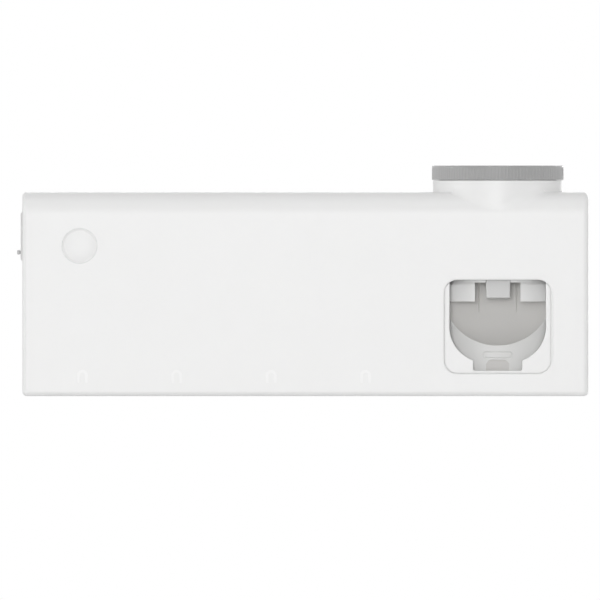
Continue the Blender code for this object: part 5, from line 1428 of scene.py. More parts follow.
@dataclass
class SidePanel:
    """The thin plate on the left side, its slide knob and the charging inlet."""

    left: float = -0.14235
    wall_left: float = -HALF_WIDTH
    root: float = 0.0031
    back: float = -0.1376
    y: float = -0.035
    half_depth: float = 0.006
    low: float = 0.0163
    high: float = 0.0413
    ramp: float = 0.0012
    edge: float = 0.00025
    flange_left: float = -0.139
    flange_wide: float = 0.0015
    knob_z: float = 0.0209
    knob_half: float = 0.0011
    knob_travel: float = 0.004
    knob_gap: float = 0.0003
    knob_edge: float = 0.0004
    groove: float = 0.0001
    groove_reach: float = 0.01
    groove_shifts: tuple[float, ...] = (-0.0005, 0.0, 0.0005)
    stem_half: float = 0.0011
    head_half: float = 0.0021
    tip: float = -0.1441
    inlet_z: float = 0.0347
    inlet_half_z: float = 0.0046
    inlet_half_y: float = 0.0018
    socket_gap: float = 0.0003
    socket_wall: float = 0.0005
    tongue_depth: float = 0.0012
    tongue_half_y: float = 0.00035
    tongue_half_z: float = 0.003
    tongue_edge: float = 0.00015

    def plate(self) -> Piece:
        """The plate with its ramped ends and soft rim."""
        root = self.wall_left + self.root
        outline = [
            (root, self.low), (self.wall_left, self.low), (self.left, self.low + self.ramp),
            (self.left, self.high - self.ramp), (self.wall_left, self.high), (root, self.high),
        ]
        plate = slab("side_plate", outline, (0, self.y, 0), self.half_depth * 2, Plane.FRONT)
        flange = box(
            "flange",
            (self.flange_left, self.y - self.half_depth - self.flange_wide, self.low - self.flange_wide),
            (self.back, self.y + self.half_depth + self.flange_wide, self.high + self.flange_wide),
        )
        combine(plate, Joining.ADD, flange)
        outside, inside = self.left - PAST, self.back + PAST
        wide, high = self.stem_half + self.knob_gap, self.knob_half + self.knob_gap
        slot = box(
            "slot", (outside, self.y - wide, self.knob_z - high),
            (inside, self.y + wide, self.knob_z + self.knob_travel + high), self.knob_edge, 3, along=0,
        )
        inlet = box(
            "inlet", (outside, self.y - self.inlet_half_y, self.inlet_z - self.inlet_half_z),
            (inside, self.y + self.inlet_half_y, self.inlet_z + self.inlet_half_z),
            self.inlet_half_y - SLACK, 10, along=0,
        )
        combine(plate, Joining.CUT, slot, inlet)
        outer = self.wall_left - 10 * SLACK
        soften(plate, self.edge, 3, lambda e: all(v.co.x < outer for v in e.verts))
        return settle(plate)

    def knob(self) -> Piece:
        """The slide knob: ribbed head outside, stem through the slot."""
        head = box(
            "slide_knob", (self.tip, self.y - self.head_half, self.knob_z - self.knob_half),
            (self.left - self.knob_gap, self.y + self.head_half, self.knob_z + self.knob_half),
            self.knob_edge, 4,
        )
        for shift in self.groove_shifts:
            z = self.knob_z + shift
            groove = rod(
                "groove", self.groove, (self.tip, self.y - self.groove_reach, z),
                (self.tip, self.y + self.groove_reach, z), 16,
            )
            combine(head, Joining.CUT, groove)
        high = self.knob_half - self.knob_gap
        stem = box(
            "stem", (self.left - 2 * self.knob_gap, self.y - self.stem_half, self.knob_z - high),
            (self.back, self.y + self.stem_half, self.knob_z + high),
        )
        return settle(combine(head, Joining.ADD, stem))

    def socket(self) -> Piece:
        """The charging socket's shell with its contact tongue."""
        low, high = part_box("charge_socket")
        radius, wall = self.inlet_half_y - self.socket_gap, self.socket_wall
        shell = box("charging_socket", low, high, radius, 8, along=0)
        hollow = box(
            "hollow", (low.x - PAST, low.y + wall, low.z + wall),
            (high.x - wall, high.y - wall, high.z - wall), radius - wall, 8, along=0,
        )
        combine(shell, Joining.CUT, hollow)
        wide, tall = self.tongue_half_y, self.tongue_half_z
        tongue = box(
            "tongue", (low.x + self.tongue_depth, self.y - wide, self.inlet_z - tall),
            (high.x - self.socket_gap, self.y + wide, self.inlet_z + tall), self.tongue_edge, 2,
        )
        return settle(combine(shell, Joining.ADD, tongue))

    def build(self, shop: Workshop) -> None:
        """Makes the plate, the knob and the socket.

        Args:
            shop: Where pieces are finished.
        """
        shop.hang(self.plate(), WHITE_SHELL, "housing", "switch_plate")
        shop.hang(self.knob(), GREY_KNOB, "power_switch", "power_switch_knob")
        shop.hang(self.socket(), PLAIN_STEEL, "housing", "charge_socket")


@dataclass
class GripRing:
    """The grey ring on the dispenser: upright ribs all round under a smooth rounded lip."""

    low: float = 0.0571
    top: float = 0.0643
    radius: float = 0.0329
    core: float = 0.03276
    rib_count: int = 120
    rib_top: float = 0.0632
    rib_fill: float = 0.62
    rib_root: float = 0.0004
    rib_curve: tuple[Point, ...] = ((0.75, 0.6), (1.0, 0.2))
    rib_ends: Point = (0.0002, 0.0005)
    lip: float = 0.0001
    round: float = 0.0006
    bore: float = 0.0275
    seat: float = 0.0298
    seat_top: float = 0.0603

    def rib(self) -> Piece:
        """One rib, drawn at the origin and reaching out along +X."""
        half = math.pi * self.radius / self.rib_count * self.rib_fill
        proud = self.radius - self.core
        bm = bmesh.new()
        plan = [(-self.rib_root, -half), (0.0, -half), *((proud * u, -half * v) for u, v in self.rib_curve)]
        plan += [(u, -v) for u, v in reversed(plan)]
        low, high = self.low + self.lip, self.rib_top
        levels, (first, last) = [], self.rib_ends
        for height, share in ((low, 0.0), (low + first, 1.0), (high - last, 1.0), (high, 0.0)):
            levels.append([bm.verts.new((u * share if u > 0 else u, v, height)) for u, v in plan])
        return skinned("grip_ribs", bm, levels)

    def build(self, shop: Workshop) -> None:
        """Makes the smooth ring and its ribs.

        Args:
            shop: Where pieces are finished.
        """
        profile = eased(
            [
                (self.core, self.low, self.lip),
                (self.core, self.rib_top - 2 * self.lip, 0),
                (self.core + self.lip, self.rib_top, 0),
                (self.core + self.lip, self.top, self.round),
                (self.bore, self.top, self.round),
                (self.bore, self.seat_top, 0),
                (self.seat, self.seat_top, 0),
                (self.seat, self.low, 0),
            ]
        )
        ring = turned("grip_ring_body", profile, (NECK_X, NECK_Y, 0), closed=True, steps=2 * self.rib_count)
        shop.hang(settle(ring), GREY_RING, "dispenser", "grip_ring")
        values = {"Count": self.rib_count, "Radius": self.core, "Material": shop.paint(GREY_RING)}
        ribs = grown(self.rib(), round_about(), values)
        ribs.data.transform(Matrix.Translation((NECK_X, NECK_Y, 0)))
        shop.hang(settle(ribs, 50), GREY_RING, "dispenser")


# The collar's whiter finish is partly painted light on its blocks, which sit in the window's shade.
@dataclass
class DispenserCup:
    """The dispenser's cup: ledge, cut-away front, bar and drain arch, under a collar with two blocks."""

    x: float = NECK_X
    y: float = NECK_Y
    inner: float = 0.0275
    outer: float = 0.0295
    low: float = -0.041
    foot_round: float = 0.0006
    floor: float = -0.0395
    floor_round: float = 0.0008
    top: float = 0.06
    ledge: float = 0.026
    ledge_top: float = 0.0217
    ledge_height: float = 0.0015
    open_half: float = 0.0252
    open_radius: float = 0.028
    open_centre: float = 0.0023
    block_low: float = -0.0037
    slot_half: float = 0.0114
    cut_back: float = -0.04685
    band_low: float = 0.0058
    band_half: float = 0.0176
    gap_low: float = 0.0049
    gap_depth: float = 0.0014
    gap_back: float = 0.01
    collar_gap: float = 0.0002
    end_rise: float = 0.0032
    way_x: float = 0.0964
    way_half: float = 0.00623
    way_gap: float = 0.0001
    way_top: float = 0.0148
    arm_half: float = 0.0085
    arm_front: float = -0.0646
    arch_half: float = 0.0058
    arch_height: float = 0.0057
    arch_corner: float = 0.0038
    arch_depth: float = 0.0028
    arch_wall: float = 0.001
    arch_low: float = -0.0386
    insert_sink: float = 0.0007
    insert_grip: float = 0.00005
    bar_half: float = 0.0068
    bar_low: float = -0.03165
    bar_high: float = -0.02915
    bar_proud: float = 0.00035
    bar_end: float = 0.0012
    bar_edge: float = 0.00028
    groove: float = 0.0005
    groove_depth: float = 0.0004
    edge: float = 0.0003
    soft_back: float = 0.008
    soft_top: float = 0.0205
    bite: float = 0.001
    past: float = 0.003
    clear: float = 0.005
    round_steps: int = 192

    @property
    def front(self) -> float:
        """Where the wall's outside stands furthest forward."""
        return self.y - self.outer

    def wall(self) -> Piece:
        """The cup as turned, before its front is cut."""
        drop = self.ledge_top - self.ledge_height
        profile = eased(
            [
                (0.0, self.floor, 0),
                (self.inner, self.floor, self.floor_round),
                (self.inner, drop - self.ledge_height, 0),
                (self.ledge, drop, 0),
                (self.ledge, self.ledge_top, 0),
                (self.inner, self.ledge_top, 0),
                (self.inner, self.top, self.edge),
                (self.outer, self.top, self.edge),
                (self.outer, self.low, self.foot_round),
                (0.0, self.low, 0),
            ],
            closed=False,
        )
        return turned("dispenser_cup", profile, (self.x, self.y, 0), steps=self.round_steps)

    def band(self, grow: float, inner: float, outer: float) -> Piece:
        """A rounded rectangle low on the front, curved with the wall.

        Args:
            grow: How far it reaches past the bar's outline.
            inner: Radius of its inner face.
            outer: Radius of its outer face.

        Returns:
            The curved piece.
        """
        middle = (self.bar_low + self.bar_high) / 2
        high = (self.bar_high - self.bar_low) / 2 + grow
        wide = self.bar_half + grow
        profile = [(outer, high * 2), (outer, -high * 2), (inner, -high * 2), (inner, high * 2)]
        ring = turned("bar", profile, (self.x, self.y, middle), steps=2 * self.round_steps, closed=True)
        round_end = self.bar_end + grow
        corners = [(wide, high), (-wide, high), (-wide, -high), (wide, -high)]
        outline = eased([(u, v, round_end) for u, v in corners], steps=8)
        keep = slab("bar_outline", outline, (self.x, self.front, middle), self.outer, Plane.FRONT)
        return combine(ring, Joining.KEEP, keep)

    def on_bar(self, edge: Edge) -> bool:
        """Whether an edge runs round the bar's outer face."""
        outer = self.outer + 0.8 * self.bar_proud
        places = [(math.hypot(v.co.x - self.x, v.co.y - self.y), v.co.z) for v in edge.verts]
        return all(reach > outer and height < self.bar_high + NEAR for reach, height in places)

    def opening(self) -> Piece:
        """The brush opening under the blocks, with the nozzle's slot between them."""
        lean = math.degrees(math.acos(self.open_half / self.open_radius))
        outline: list[Point] = [(-self.open_half, self.block_low)]
        radii, slot = (self.open_radius, self.open_radius), self.slot_half
        outline += arc((0, self.open_centre), radii, 180 + lean, 360 - lean, 56)
        outline += [(self.open_half, self.block_low), (slot, self.block_low), (slot, self.band_low)]
        outline += [(-slot, self.band_low), (-slot, self.block_low)]
        front = self.front - self.past
        centre = (self.x, (front + self.cut_back) / 2, 0)
        return slab("opening", outline, centre, self.cut_back - front, Plane.FRONT)

    def ring_cut(self, low: float, high: float, left: float, right: float) -> Piece:
        """A shallow cutter that follows the front of the wall.

        Args:
            low: Lowest height.
            high: Highest height.
            left: Lowest place along X from the axis.
            right: Highest place along X from the axis.

        Returns:
            The cutter.
        """
        inner, outer = self.outer - self.gap_depth, self.outer + self.bite
        profile = [(outer, high), (outer, low), (inner, low), (inner, high)]
        ring = turned("gap", profile, (self.x, self.y, 0), steps=self.round_steps, closed=True)
        keep = box(
            "gap_keep", (self.x + left, self.front - self.past, low - self.bite),
            (self.x + right, self.y - self.gap_back, high + self.bite),
        )
        return combine(ring, Joining.KEEP, keep)

    def collar_cuts(self, cup: Piece) -> None:
        """Cuts the shadow gap over the blocks, the band's ends, the nozzle's way and room for the duct.

        Args:
            cup: The cup so far.
        """
        wide = self.outer
        over = self.band_low + self.end_rise
        combine(cup, Joining.CUT, self.ring_cut(self.gap_low, self.band_low, -wide, wide))
        for side in (-1, 1):
            left, right = sorted((side * self.band_half, side * wide))
            combine(cup, Joining.CUT, self.ring_cut(self.band_low - self.way_gap, over, left, right))
        way = box(
            "way", (self.way_x - self.way_half, self.front - self.past, self.band_low - self.bite),
            (self.way_x + self.way_half, self.cut_back, self.way_top),
        )
        room = box(
            "room", (self.x - self.arm_half, self.arm_front, self.band_low - self.bite),
            (self.x + self.arm_half, self.cut_back, self.ledge_top),
        )
        combine(cup, Joining.CUT, way, room)

    def collar(self, cup: Piece) -> Piece:
        """Parts the collar with its blocks from the cup below it; the collar's whiter finish is partly
        painted light.

        Args:
            cup: The whole cup, which keeps its lower part.

        Returns:
            The collar.
        """
        upper = bpy.data.objects.new("dispenser_collar", cup.data.copy())
        upper.data.name = "dispenser_collar"
        bpy.context.scene.collection.objects.link(upper)
        split = self.block_low - self.collar_gap
        reach = self.outer + self.clear
        low = (self.x - reach, self.y - reach, self.low - self.clear)
        high = (self.x + reach, self.y + reach, self.top + self.clear)
        combine(cup, Joining.KEEP, box("below", low, (high[0], high[1], split)))
        return combine(upper, Joining.KEEP, box("above", (low[0], low[1], split), high))

    def on_front_cut(self, edge: Edge) -> bool:
        """Whether an edge runs round the opening or the arch on the cup's outside."""
        for vert in edge.verts:
            if vert.co.y > self.y - self.soft_back or not self.low + self.bite <= vert.co.z <= self.soft_top:
                return False
            if abs(math.hypot(vert.co.x - self.x, vert.co.y - self.y) - self.outer) > 5 * SLACK:
                return False
        return True

    def arch_outline(self, shrink: float = 0.0) -> list[Point]:
        """The drain arch: upright sides under two round shoulders.

        Args:
            shrink: How far the outline is set inwards.

        Returns:
            The outline's points.
        """
        half, high, shoulder = self.arch_half - shrink, self.arch_height - shrink, self.arch_corner - shrink
        corners = [(half, shrink, 0), (half, high, shoulder), (-half, high, shoulder), (-half, shrink, 0)]
        return eased(corners, steps=14)

    def shade_insert(self) -> Piece:
        """The warm insert that closes the drain arch, a little sunk into it; its darker grey is painted
        shade.
        """
        thickness = self.arch_depth - self.insert_sink
        centre = (self.x, self.front + self.insert_sink + thickness / 2, self.arch_low)
        return settle(slab("drain_plug", self.arch_outline(-self.insert_grip), centre, thickness, Plane.FRONT))

    def build(self, shop: Workshop) -> None:
        """Makes the cup, the painted-shade insert in its drain arch, and its collar.

        Args:
            shop: Where pieces are finished.
        """
        cup = self.wall()
        centre = (self.x, self.front, self.arch_low)
        arch = slab("arch", self.arch_outline(), centre, self.arch_depth * 2, Plane.FRONT)
        wide, wall = self.arch_half + self.arch_wall, self.arch_wall
        pocket = box(
            "pocket", (self.x - wide, self.front + wall + self.collar_gap, self.floor - self.bite / 2),
            (self.x + wide, self.front + self.arch_depth + wall, self.arch_low + self.arch_height + wall),
        )
        combine(cup, Joining.ADD, pocket)
        groove = self.band(self.groove, self.outer - self.groove_depth, self.outer + self.bite)
        combine(cup, Joining.CUT, groove)
        combine(cup, Joining.ADD, self.band(0.0, self.outer - self.bite, self.outer + self.bar_proud))
        combine(cup, Joining.CUT, self.opening(), arch)
        self.collar_cuts(cup)
        collar = self.collar(cup)
        soften(cup, self.edge, 3, self.on_front_cut)
        soften(cup, self.bar_edge, 3, self.on_bar)
        soften(collar, self.edge / 2, 2, self.on_front_cut)
        shop.hang(settle(cup), CLOUD_CUP, "dispenser", "module_sleeve")
        # The collar's whiter finish is partly painted light on the shaded blocks.
        shop.hang(settle(collar), WHITE_COLLAR_PAINTED_LIGHT, "dispenser")
        # The insert's darker warm grey is painted shade in the drain arch.
        shop.hang(self.shade_insert(), WARM_ARCH_SHADE, "dispenser")


@dataclass
class PasteSpout:
    """The flat-faced nozzle with soft edges, a little narrower at its mouth."""

    x: float = 0.0964
    front: float = -0.0655
    back: float = -0.052
    low: float = -0.0019
    top: float = 0.0147
    half: float = 0.0062
    taper: float = 0.0003
    edge: float = 0.0005
    way_radius: float = 0.0018

    def build(self, shop: Workshop) -> None:
        """Makes the nozzle.

        Args:
            shop: Where pieces are finished.
        """
        bm = cube((self.x - self.half, self.front, self.low), (self.x + self.half, self.back, self.top))
        for vert in bm.verts:
            if vert.co.z < self.top - SLACK:
                vert.co.x -= math.copysign(self.taper, vert.co.x - self.x)
        bevelled(bm, [edge for edge in bm.edges if not lies_at(edge, 2, self.top)], self.edge, 4)
        y = (self.front + self.back) / 2
        way = rod("way", self.way_radius, (self.x, y, self.low - PAST), (self.x, y, self.top + PAST), 48)
        spout = made("paste_spout", bm)
        combine(spout, Joining.CUT, way)
        shop.hang(settle(spout), CLOUD_SPOUT, "dispenser", "nozzle")


@dataclass
class SwingPlate:
    """The push plate: soft rim, two tapering grooves in front, barrels on the pin, ribs and rocker behind."""

    x: float = NECK_X
    front: float = -0.0475
    back: float = -0.0455
    half: float = 0.02455
    low: float = -0.0383
    top: float = 0.005
    corner: float = 0.01
    rim: float = 0.0005
    inner_edge: float = 0.0002
    front_sink: float = 0.00004
    pin_y: float = -0.0465
    pin_z: float = 0.009
    pin_way: float = 0.00155
    barrel: float = 0.0026
    barrel_near: float = 0.0084
    barrel_far: float = 0.0134
    hanger_low: float = 0.0024
    web_top: float = 0.0072
    rib_half: float = 0.0008
    rib_back: float = -0.0425
    groove_offset: float = 0.0094
    groove_half: float = 0.0007
    groove_tip: float = 0.0002
    groove_top: float = 0.0063
    groove_low: float = -0.0091
    groove_depth: float = 0.0009
    groove_ahead: float = 0.0006
    rocker_half: float = 0.004
    rocker_radius: float = 0.002
    rocker_y: float = -0.03685
    rocker_z: float = -0.002

    def hangers(self, plate: Piece) -> None:
        """Adds the barrels, their hangers and the ribs behind.

        Args:
            plate: The plate so far.
        """
        flush, sink, axis = self.front + self.front_sink, self.inner_edge, (self.pin_y, self.pin_z)
        for side in (-1, 1):
            left, right = sorted((self.x + side * self.barrel_near, self.x + side * self.barrel_far))
            hanger = box("hanger", (left, flush, self.hanger_low), (right, self.back, self.pin_z))
            barrel = rod("barrel", self.barrel, (left, *axis), (right, *axis))
            middle = (left + right) / 2
            rib = box(
                "rib", (middle - self.rib_half, self.back - sink, self.low + self.corner),
                (middle + self.rib_half, self.rib_back, self.hanger_low), sink, 2,
            )
            combine(plate, Joining.ADD, hanger, barrel, rib)
        near = self.barrel_near + sink
        web = box(
            "web", (self.x - near, flush, self.hanger_low), (self.x + near, self.back, self.web_top), sink, 2
        )
        combine(plate, Joining.ADD, web)

    def grooves(self, plate: Piece) -> None:
        """Cuts the two V-shaped grooves that taper out below the blocks.

        Args:
            plate: The plate so far.
        """
        half, ahead = self.groove_half, -self.groove_ahead
        outline = [(-half, ahead), (half, ahead), (half, 0.0), (0.0, self.groove_depth), (-half, 0.0)]
        middle, length = (self.groove_low + self.groove_top) / 2, self.groove_top - self.groove_low
        share = self.groove_tip / half
        for side in (-1, 1):
            x = self.x + side * self.groove_offset
            groove = slab("groove", outline, (x, self.front, middle), length, Plane.TOP)
            for vert in groove.data.vertices:
                if vert.co.z < middle:
                    vert.co.x = x + (vert.co.x - x) * share
                    vert.co.y = min(vert.co.y, self.front + self.groove_depth * share)
            combine(plate, Joining.CUT, groove)

    def build(self, shop: Workshop) -> None:
        """Makes the plate.

        Args:
            shop: Where pieces are finished.
        """
        corners = [
            (self.half, self.top, 0), (-self.half, self.top, 0), (-self.half, self.low, self.corner),
            (self.half, self.low, self.corner),
        ]
        centre, thickness = (self.x, (self.front + self.back) / 2, 0), self.back - self.front
        plate = slab("swing_plate", eased(corners, steps=18), centre, thickness, Plane.FRONT, self.rim, 4)
        self.hangers(plate)
        self.grooves(plate)
        left, right = self.x - self.rocker_half, self.x + self.rocker_half
        arm = box(
            "arm", (left, self.back - self.inner_edge, self.rocker_z - self.rocker_radius),
            (right, self.rocker_y, self.rocker_z + self.rocker_radius / 2), self.inner_edge, 2,
        )
        axis = (self.rocker_y, self.rocker_z)
        tip = rod("tip", self.rocker_radius, (left, *axis), (right, *axis), 32)
        combine(plate, Joining.ADD, arm, tip)
        reach, axis = self.barrel_far + PAST, (self.pin_y, self.pin_z)
        way = rod("pin_way", self.pin_way, (self.x - reach, *axis), (self.x + reach, *axis), 32)
        combine(plate, Joining.CUT, way)
        shop.hang(settle(plate), WARM_PLATE, "plate", "push_plate")


@dataclass
class BrushPorts:
    """Silicone grommets in the underside: a ring each, with six cupped petals."""

    low: float = -0.0507
    seat: float = -0.0485
    top: float = -0.0473
    flange: float = 0.0135
    outer: float = 0.0117
    inner: float = 0.0105
    lip: float = 0.0004
    lip_height: float = 0.0009
    lip_edge: float = 0.0001
    seat_edge: float = 0.0002
    edge: float = 0.0003
    hole: float = 0.0055
    petal_count: int = 6
    petal_thickness: float = 0.0008
    petal_rise: float = 0.00005
    petal_grip: float = 0.0003
    slit: float = 0.0007
    rise: float = 0.0007

    def petal(self) -> Piece:
        """One petal pointing along +X, cupped upwards towards the hole."""
        bm = bmesh.new()
        columns, rows = 8, 8
        sides: list[list[list[bmesh.types.BMVert]]] = []
        for layer in (0.0, self.petal_thickness):
            grid = []
            for row in range(rows + 1):
                share = row / rows
                radius = self.hole + (self.inner + self.petal_grip - self.hole) * share
                spread = math.pi / self.petal_count - self.slit / 2 / radius
                height = self.low + self.petal_rise + layer + self.rise * (1 - share) ** 2
                line = []
                for column in range(columns + 1):
                    angle = -spread + 2 * spread * column / columns
                    line.append(bm.verts.new((radius * math.cos(angle), radius * math.sin(angle), height)))
                grid.append(line)
            sides.append(grid)
        under, over = sides
        for row in range(rows):
            for column in range(columns):
                for grid in sides:
                    near, far = grid[row], grid[row + 1]
                    bm.faces.new((near[column], near[column + 1], far[column + 1], far[column]))
        rim = [(0, c) for c in range(columns)] + [(r, columns) for r in range(rows)]
        rim += [(rows, columns - c) for c in range(columns)] + [(rows - r, 0) for r in range(rows)]
        for (r, c), (s, d) in zip(rim, rim[1:] + rim[:1]):
            bm.faces.new((under[r][c], under[s][d], over[s][d], over[r][c]))
        bmesh.ops.recalc_face_normals(bm, faces=bm.faces)
        return made("port_petals", bm)

    def ring(self) -> Piece:
        """The grommet's ring, flanged inside the housing and rounded outside."""
        profile = eased(
            [
                (self.flange, self.top, self.edge),
                (self.flange, self.seat, self.seat_edge),
                (self.outer, self.seat, 0),
                (self.outer, self.low, self.edge),
                (self.inner - self.lip, self.low, self.lip_edge),
                (self.inner - self.lip, self.low + self.lip_height, 0),
                (self.inner, self.low + self.lip_height, 0),
                (self.inner, self.top, self.edge),
            ]
        )
        return turned("port_rings", profile, (0, 0, 0), steps=72, closed=True)

    def build(self, shop: Workshop) -> None:
        """Makes the rings and the petals of every port.

        Args:
            shop: Where pieces are finished.
        """
        paint = shop.paint(PALE_SILICONE)
        about = {"Count": self.petal_count, "Radius": 0.0, "Material": paint}
        petals = grown(self.petal(), round_about(), about)
        row = {
            "Count": len(PORT_PLACES), "Start": (PORT_PLACES[0], PORT_Y, 0), "Pitch": (PORT_PITCH, 0, 0),
            "Material": paint,
        }
        petals = grown(petals, in_a_row(), row)
        shop.hang(settle(petals, 50), PALE_SILICONE, "housing")
        rings = grown(self.ring(), in_a_row(), row)
        nodes = [f"port_grommet_{index + 1}" for index in range(len(PORT_PLACES))]
        shop.hang(settle(rings), PALE_SILICONE, "housing", *nodes)


@dataclass
class RearSide:
    """The rear cover with its recess and screws, and the bracket and pad that it hangs on."""

    front: float = -0.0039
    back: float = -0.0015
    corner: float = 0.0023
    lip_front: float = -0.0064
    lip_inset: float = 0.0025
    lip_wall: float = 0.0016
    lip_corner: float = 0.001
    hollow_corner: float = 0.0008
    edge: float = 0.0005
    recess_half: float = 0.0603
    recess_low: float = -0.0303
    recess_top: float = 0.0223
    recess_floor: float = -0.0036
    floor_front: float = -0.0056
    tray_wall: float = 0.002
    tray_corner: float = 0.004
    hook_x: float = 0.04
    slot_half: float = 0.0056
    slot_low: float = -0.0103
    slot_top: float = 0.0008
    slot_corner: float = 0.0006
    screw_turns: tuple[float, ...] = (0.3, 1.1, 0.7, 0.1, 0.9, 1.3)
    head_radius: float = 0.0024
    head_height: float = 0.0013
    shank: float = 0.0012
    shank_length: float = 0.0107
    screw_gap: float = 0.0003
    point: float = 0.0012
    dome: Point = (0.75, 0.45)
    dome_rounds: Point = (0.0008, 0.0004)
    blade: Place = (0.0014, 0.0007, 0.00028)
    seat_gap: float = 0.00005

    def layer(self, name: str, inset: float, front: float, back: float, corner: float, steps: int) -> Piece:
        """A rounded plate of the cover's outline.

        Args:
            name: The piece's name.
            inset: How far its edge lies inside the cover's.
            front: Its front face.
            back: Its back face.
            corner: Radius of its four corners.
            steps: Segments round each corner.

        Returns:
            The plate.
        """
        wide, high = HALF_WIDTH - inset, HALF_HEIGHT - inset
        return box(name, (-wide, front, -high), (wide, back, high), corner, steps, along=1)

    def cover(self) -> Piece:
        """The back plate."""
        plate = self.layer("rear_plate", 0.0, self.front, self.back, self.corner, 6)
        inset = self.lip_inset
        lip = self.layer("lip", inset, self.lip_front, self.front + BITE, self.lip_corner, 4)
        inside = inset + self.lip_wall
        hollow = self.layer("hollow", inside, self.lip_front - PAST, self.front, self.hollow_corner, 4)
        combine(lip, Joining.CUT, hollow)
        wall, corner = self.tray_wall, self.tray_corner
        tray = box(
            "tray", (-self.recess_half - wall, self.floor_front, self.recess_low - wall),
            (self.recess_half + wall, self.front + BITE, self.recess_top + wall), corner, 6, along=1,
        )
        combine(plate, Joining.ADD, lip, tray)
        recess = box(
            "recess", (-self.recess_half, self.recess_floor, self.recess_low),
            (self.recess_half, self.back + PAST, self.recess_top), corner, 6, along=1,
        )
        combine(plate, Joining.CUT, recess)
        for x in (-self.hook_x, self.hook_x):
            slot = box(
                "slot", (x - self.slot_half, self.floor_front - PAST, self.slot_low),
                (x + self.slot_half, self.recess_floor + PAST, self.slot_top), self.slot_corner, 3, along=1,
            )
            combine(plate, Joining.CUT, slot)
        gap = self.screw_gap
        for z in BOSS_ROWS:
            for x in BOSS_COLUMNS:
                hole = rod("hole", self.shank + gap, (x, self.front - PAST, z), (x, PAST, z), 32)
                start = (x, self.back - self.head_height - gap, z)
                seat = rod("seat", self.head_radius + gap, start, (x, PAST, z), 48)
                combine(plate, Joining.CUT, hole, seat)
        soften(plate, self.edge, 3, lambda e: lies_at(e, 1, self.back))
        return settle(plate)

    def screw(self, name: str) -> Piece:
        """One pan screw with a cross recess, its head's top at the origin and towards +Y.

        Args:
            name: The piece's name.

        Returns:
            The screw.
        """
        head = eased(
            [
                (0.0, 0.0, 0),
                (self.head_radius * self.dome[0], 0.0, self.dome_rounds[0]),
                (self.head_radius, -self.head_height * self.dome[1], self.dome_rounds[1]),
                (self.head_radius, -self.head_height, 0),
                (self.shank, -self.head_height, 0),
                (self.shank, -self.head_height - self.shank_length + self.point, 0),
                (0.0, -self.head_height - self.shank_length, 0),
            ],
            closed=False, steps=3,
        )
        body = turned(name, head, (0, 0, 0), Plane.BACK, 32)
        for turn in (0.0, math.pi / 2):
            reach, sink, half = self.blade
            blade = box("blade", (-reach, -sink, -half), (reach, PAST, half))
            blade.data.transform(Matrix.Rotation(turn, 4, "Y"))
            combine(body, Joining.CUT, blade)
        return settle(body)

    def screws(self, shop: Workshop) -> None:
        """The six cover screws, each at its own angle.

        Args:
            shop: Where pieces are finished.
        """
        bm = bmesh.new()
        turn = bm.verts.layers.float.new("turn")
        places = [(x, z) for z in BOSS_ROWS for x in BOSS_COLUMNS]
        for (x, z), angle in zip(places, self.screw_turns):
            bm.verts.new((x, self.back - self.seat_gap, z))[turn] = angle
        points = made("cover_screws", bm)
        one = self.screw("screw")
        values = {"Piece": one, "Axis": (0, 1, 0), "Material": shop.paint(PLAIN_STEEL)}
        grown(points, on_points(), values, [one])
        nodes = [f"cover_screw_{index + 1}" for index in range(len(places))]
        shop.hang(points, PLAIN_STEEL, "housing", *nodes)

    def build(self, shop: Workshop) -> None:
        """Makes the cover and screws, and dresses the board screws, bracket and pad.

        Args:
            shop: Where pieces are finished.
        """
        shop.hang(self.cover(), WHITE_COVER, "housing", "rear_cover")
        self.screws(shop)
        shop.dress(PLAIN_STEEL, "board_screw_1", "board_screw_2")
        shop.dress(WHITE_BRACKET, "wall_bracket")
        shop.dress(FOAM_TAPE, "adhesive_pad")


@dataclass
class InnerWorks:
    """The return spring, and the solids that are carried over with their finishes."""

    spring_wire: float = 0.0004
    spring_turns: int = 5
    turn_steps: int = 36
    wire_steps: int = 10
    plunger_travel: float = 0.0036
    finishes: tuple[tuple[object, tuple[str, ...]], ...] = (
        (CLOUD_CUP, ("pump_block", "plunger")),
        (PALE_SILICONE, ("tube_seal", "check_valve", "plunger_seal")),
        (SPRING_STEEL, ("hinge_pin",)),
        (PLAIN_STEEL, ("switch_body",)),
        (DARK_INNER, ("tact_switch", "battery_cradle", "lamp_end_left", "lamp_end_right")),
        (CELL_FILM, ("battery_cell",)),
        (BOARD_MASK, ("circuit_board", "lamp_driver")),
        (BRIGHT_SHEET, ("chamber_liner", "lamp_reflector")),
        (LAMP_GLASS, ("uv_lamp_tube",)),
    )

    def spring(self, shop: Workshop) -> None:
        """The return spring: a round coil the size of its solid.

        Args:
            shop: Where pieces are finished.
        """
        low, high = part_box("return_spring")
        centre = (low + high) / 2
        radius = (high.x - low.x) / 2 - self.spring_wire
        climb = high.z - low.z - 2 * self.spring_wire
        count, sides = self.spring_turns * self.turn_steps, self.wire_steps
        bm = bmesh.new()
        rings = []
        for step in range(count + 1):
            angle = math.tau * step / self.turn_steps
            middle = low.z + self.spring_wire + climb * step / count
            ring = []
            for side in range(sides):
                around = math.tau * side / sides
                reach = radius + self.spring_wire * math.cos(around)
                height = middle + self.spring_wire * math.sin(around)
                place = (centre.x + reach * math.cos(angle), centre.y + reach * math.sin(angle), height)
                ring.append(bm.verts.new(place))
            rings.append(ring)
        coil = settle(skinned("return_coil", bm, rings))
        shop.hang(coil, SPRING_STEEL, "dispenser", "return_spring")
        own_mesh(coil)

    def build(self, shop: Workshop) -> None:
        """Makes the spring and dresses every carried-over solid.

        Args:
            shop: Where pieces are finished.
        """
        self.spring(shop)
        for finish, nodes in self.finishes:
            shop.dress(finish, *nodes)


# Studio


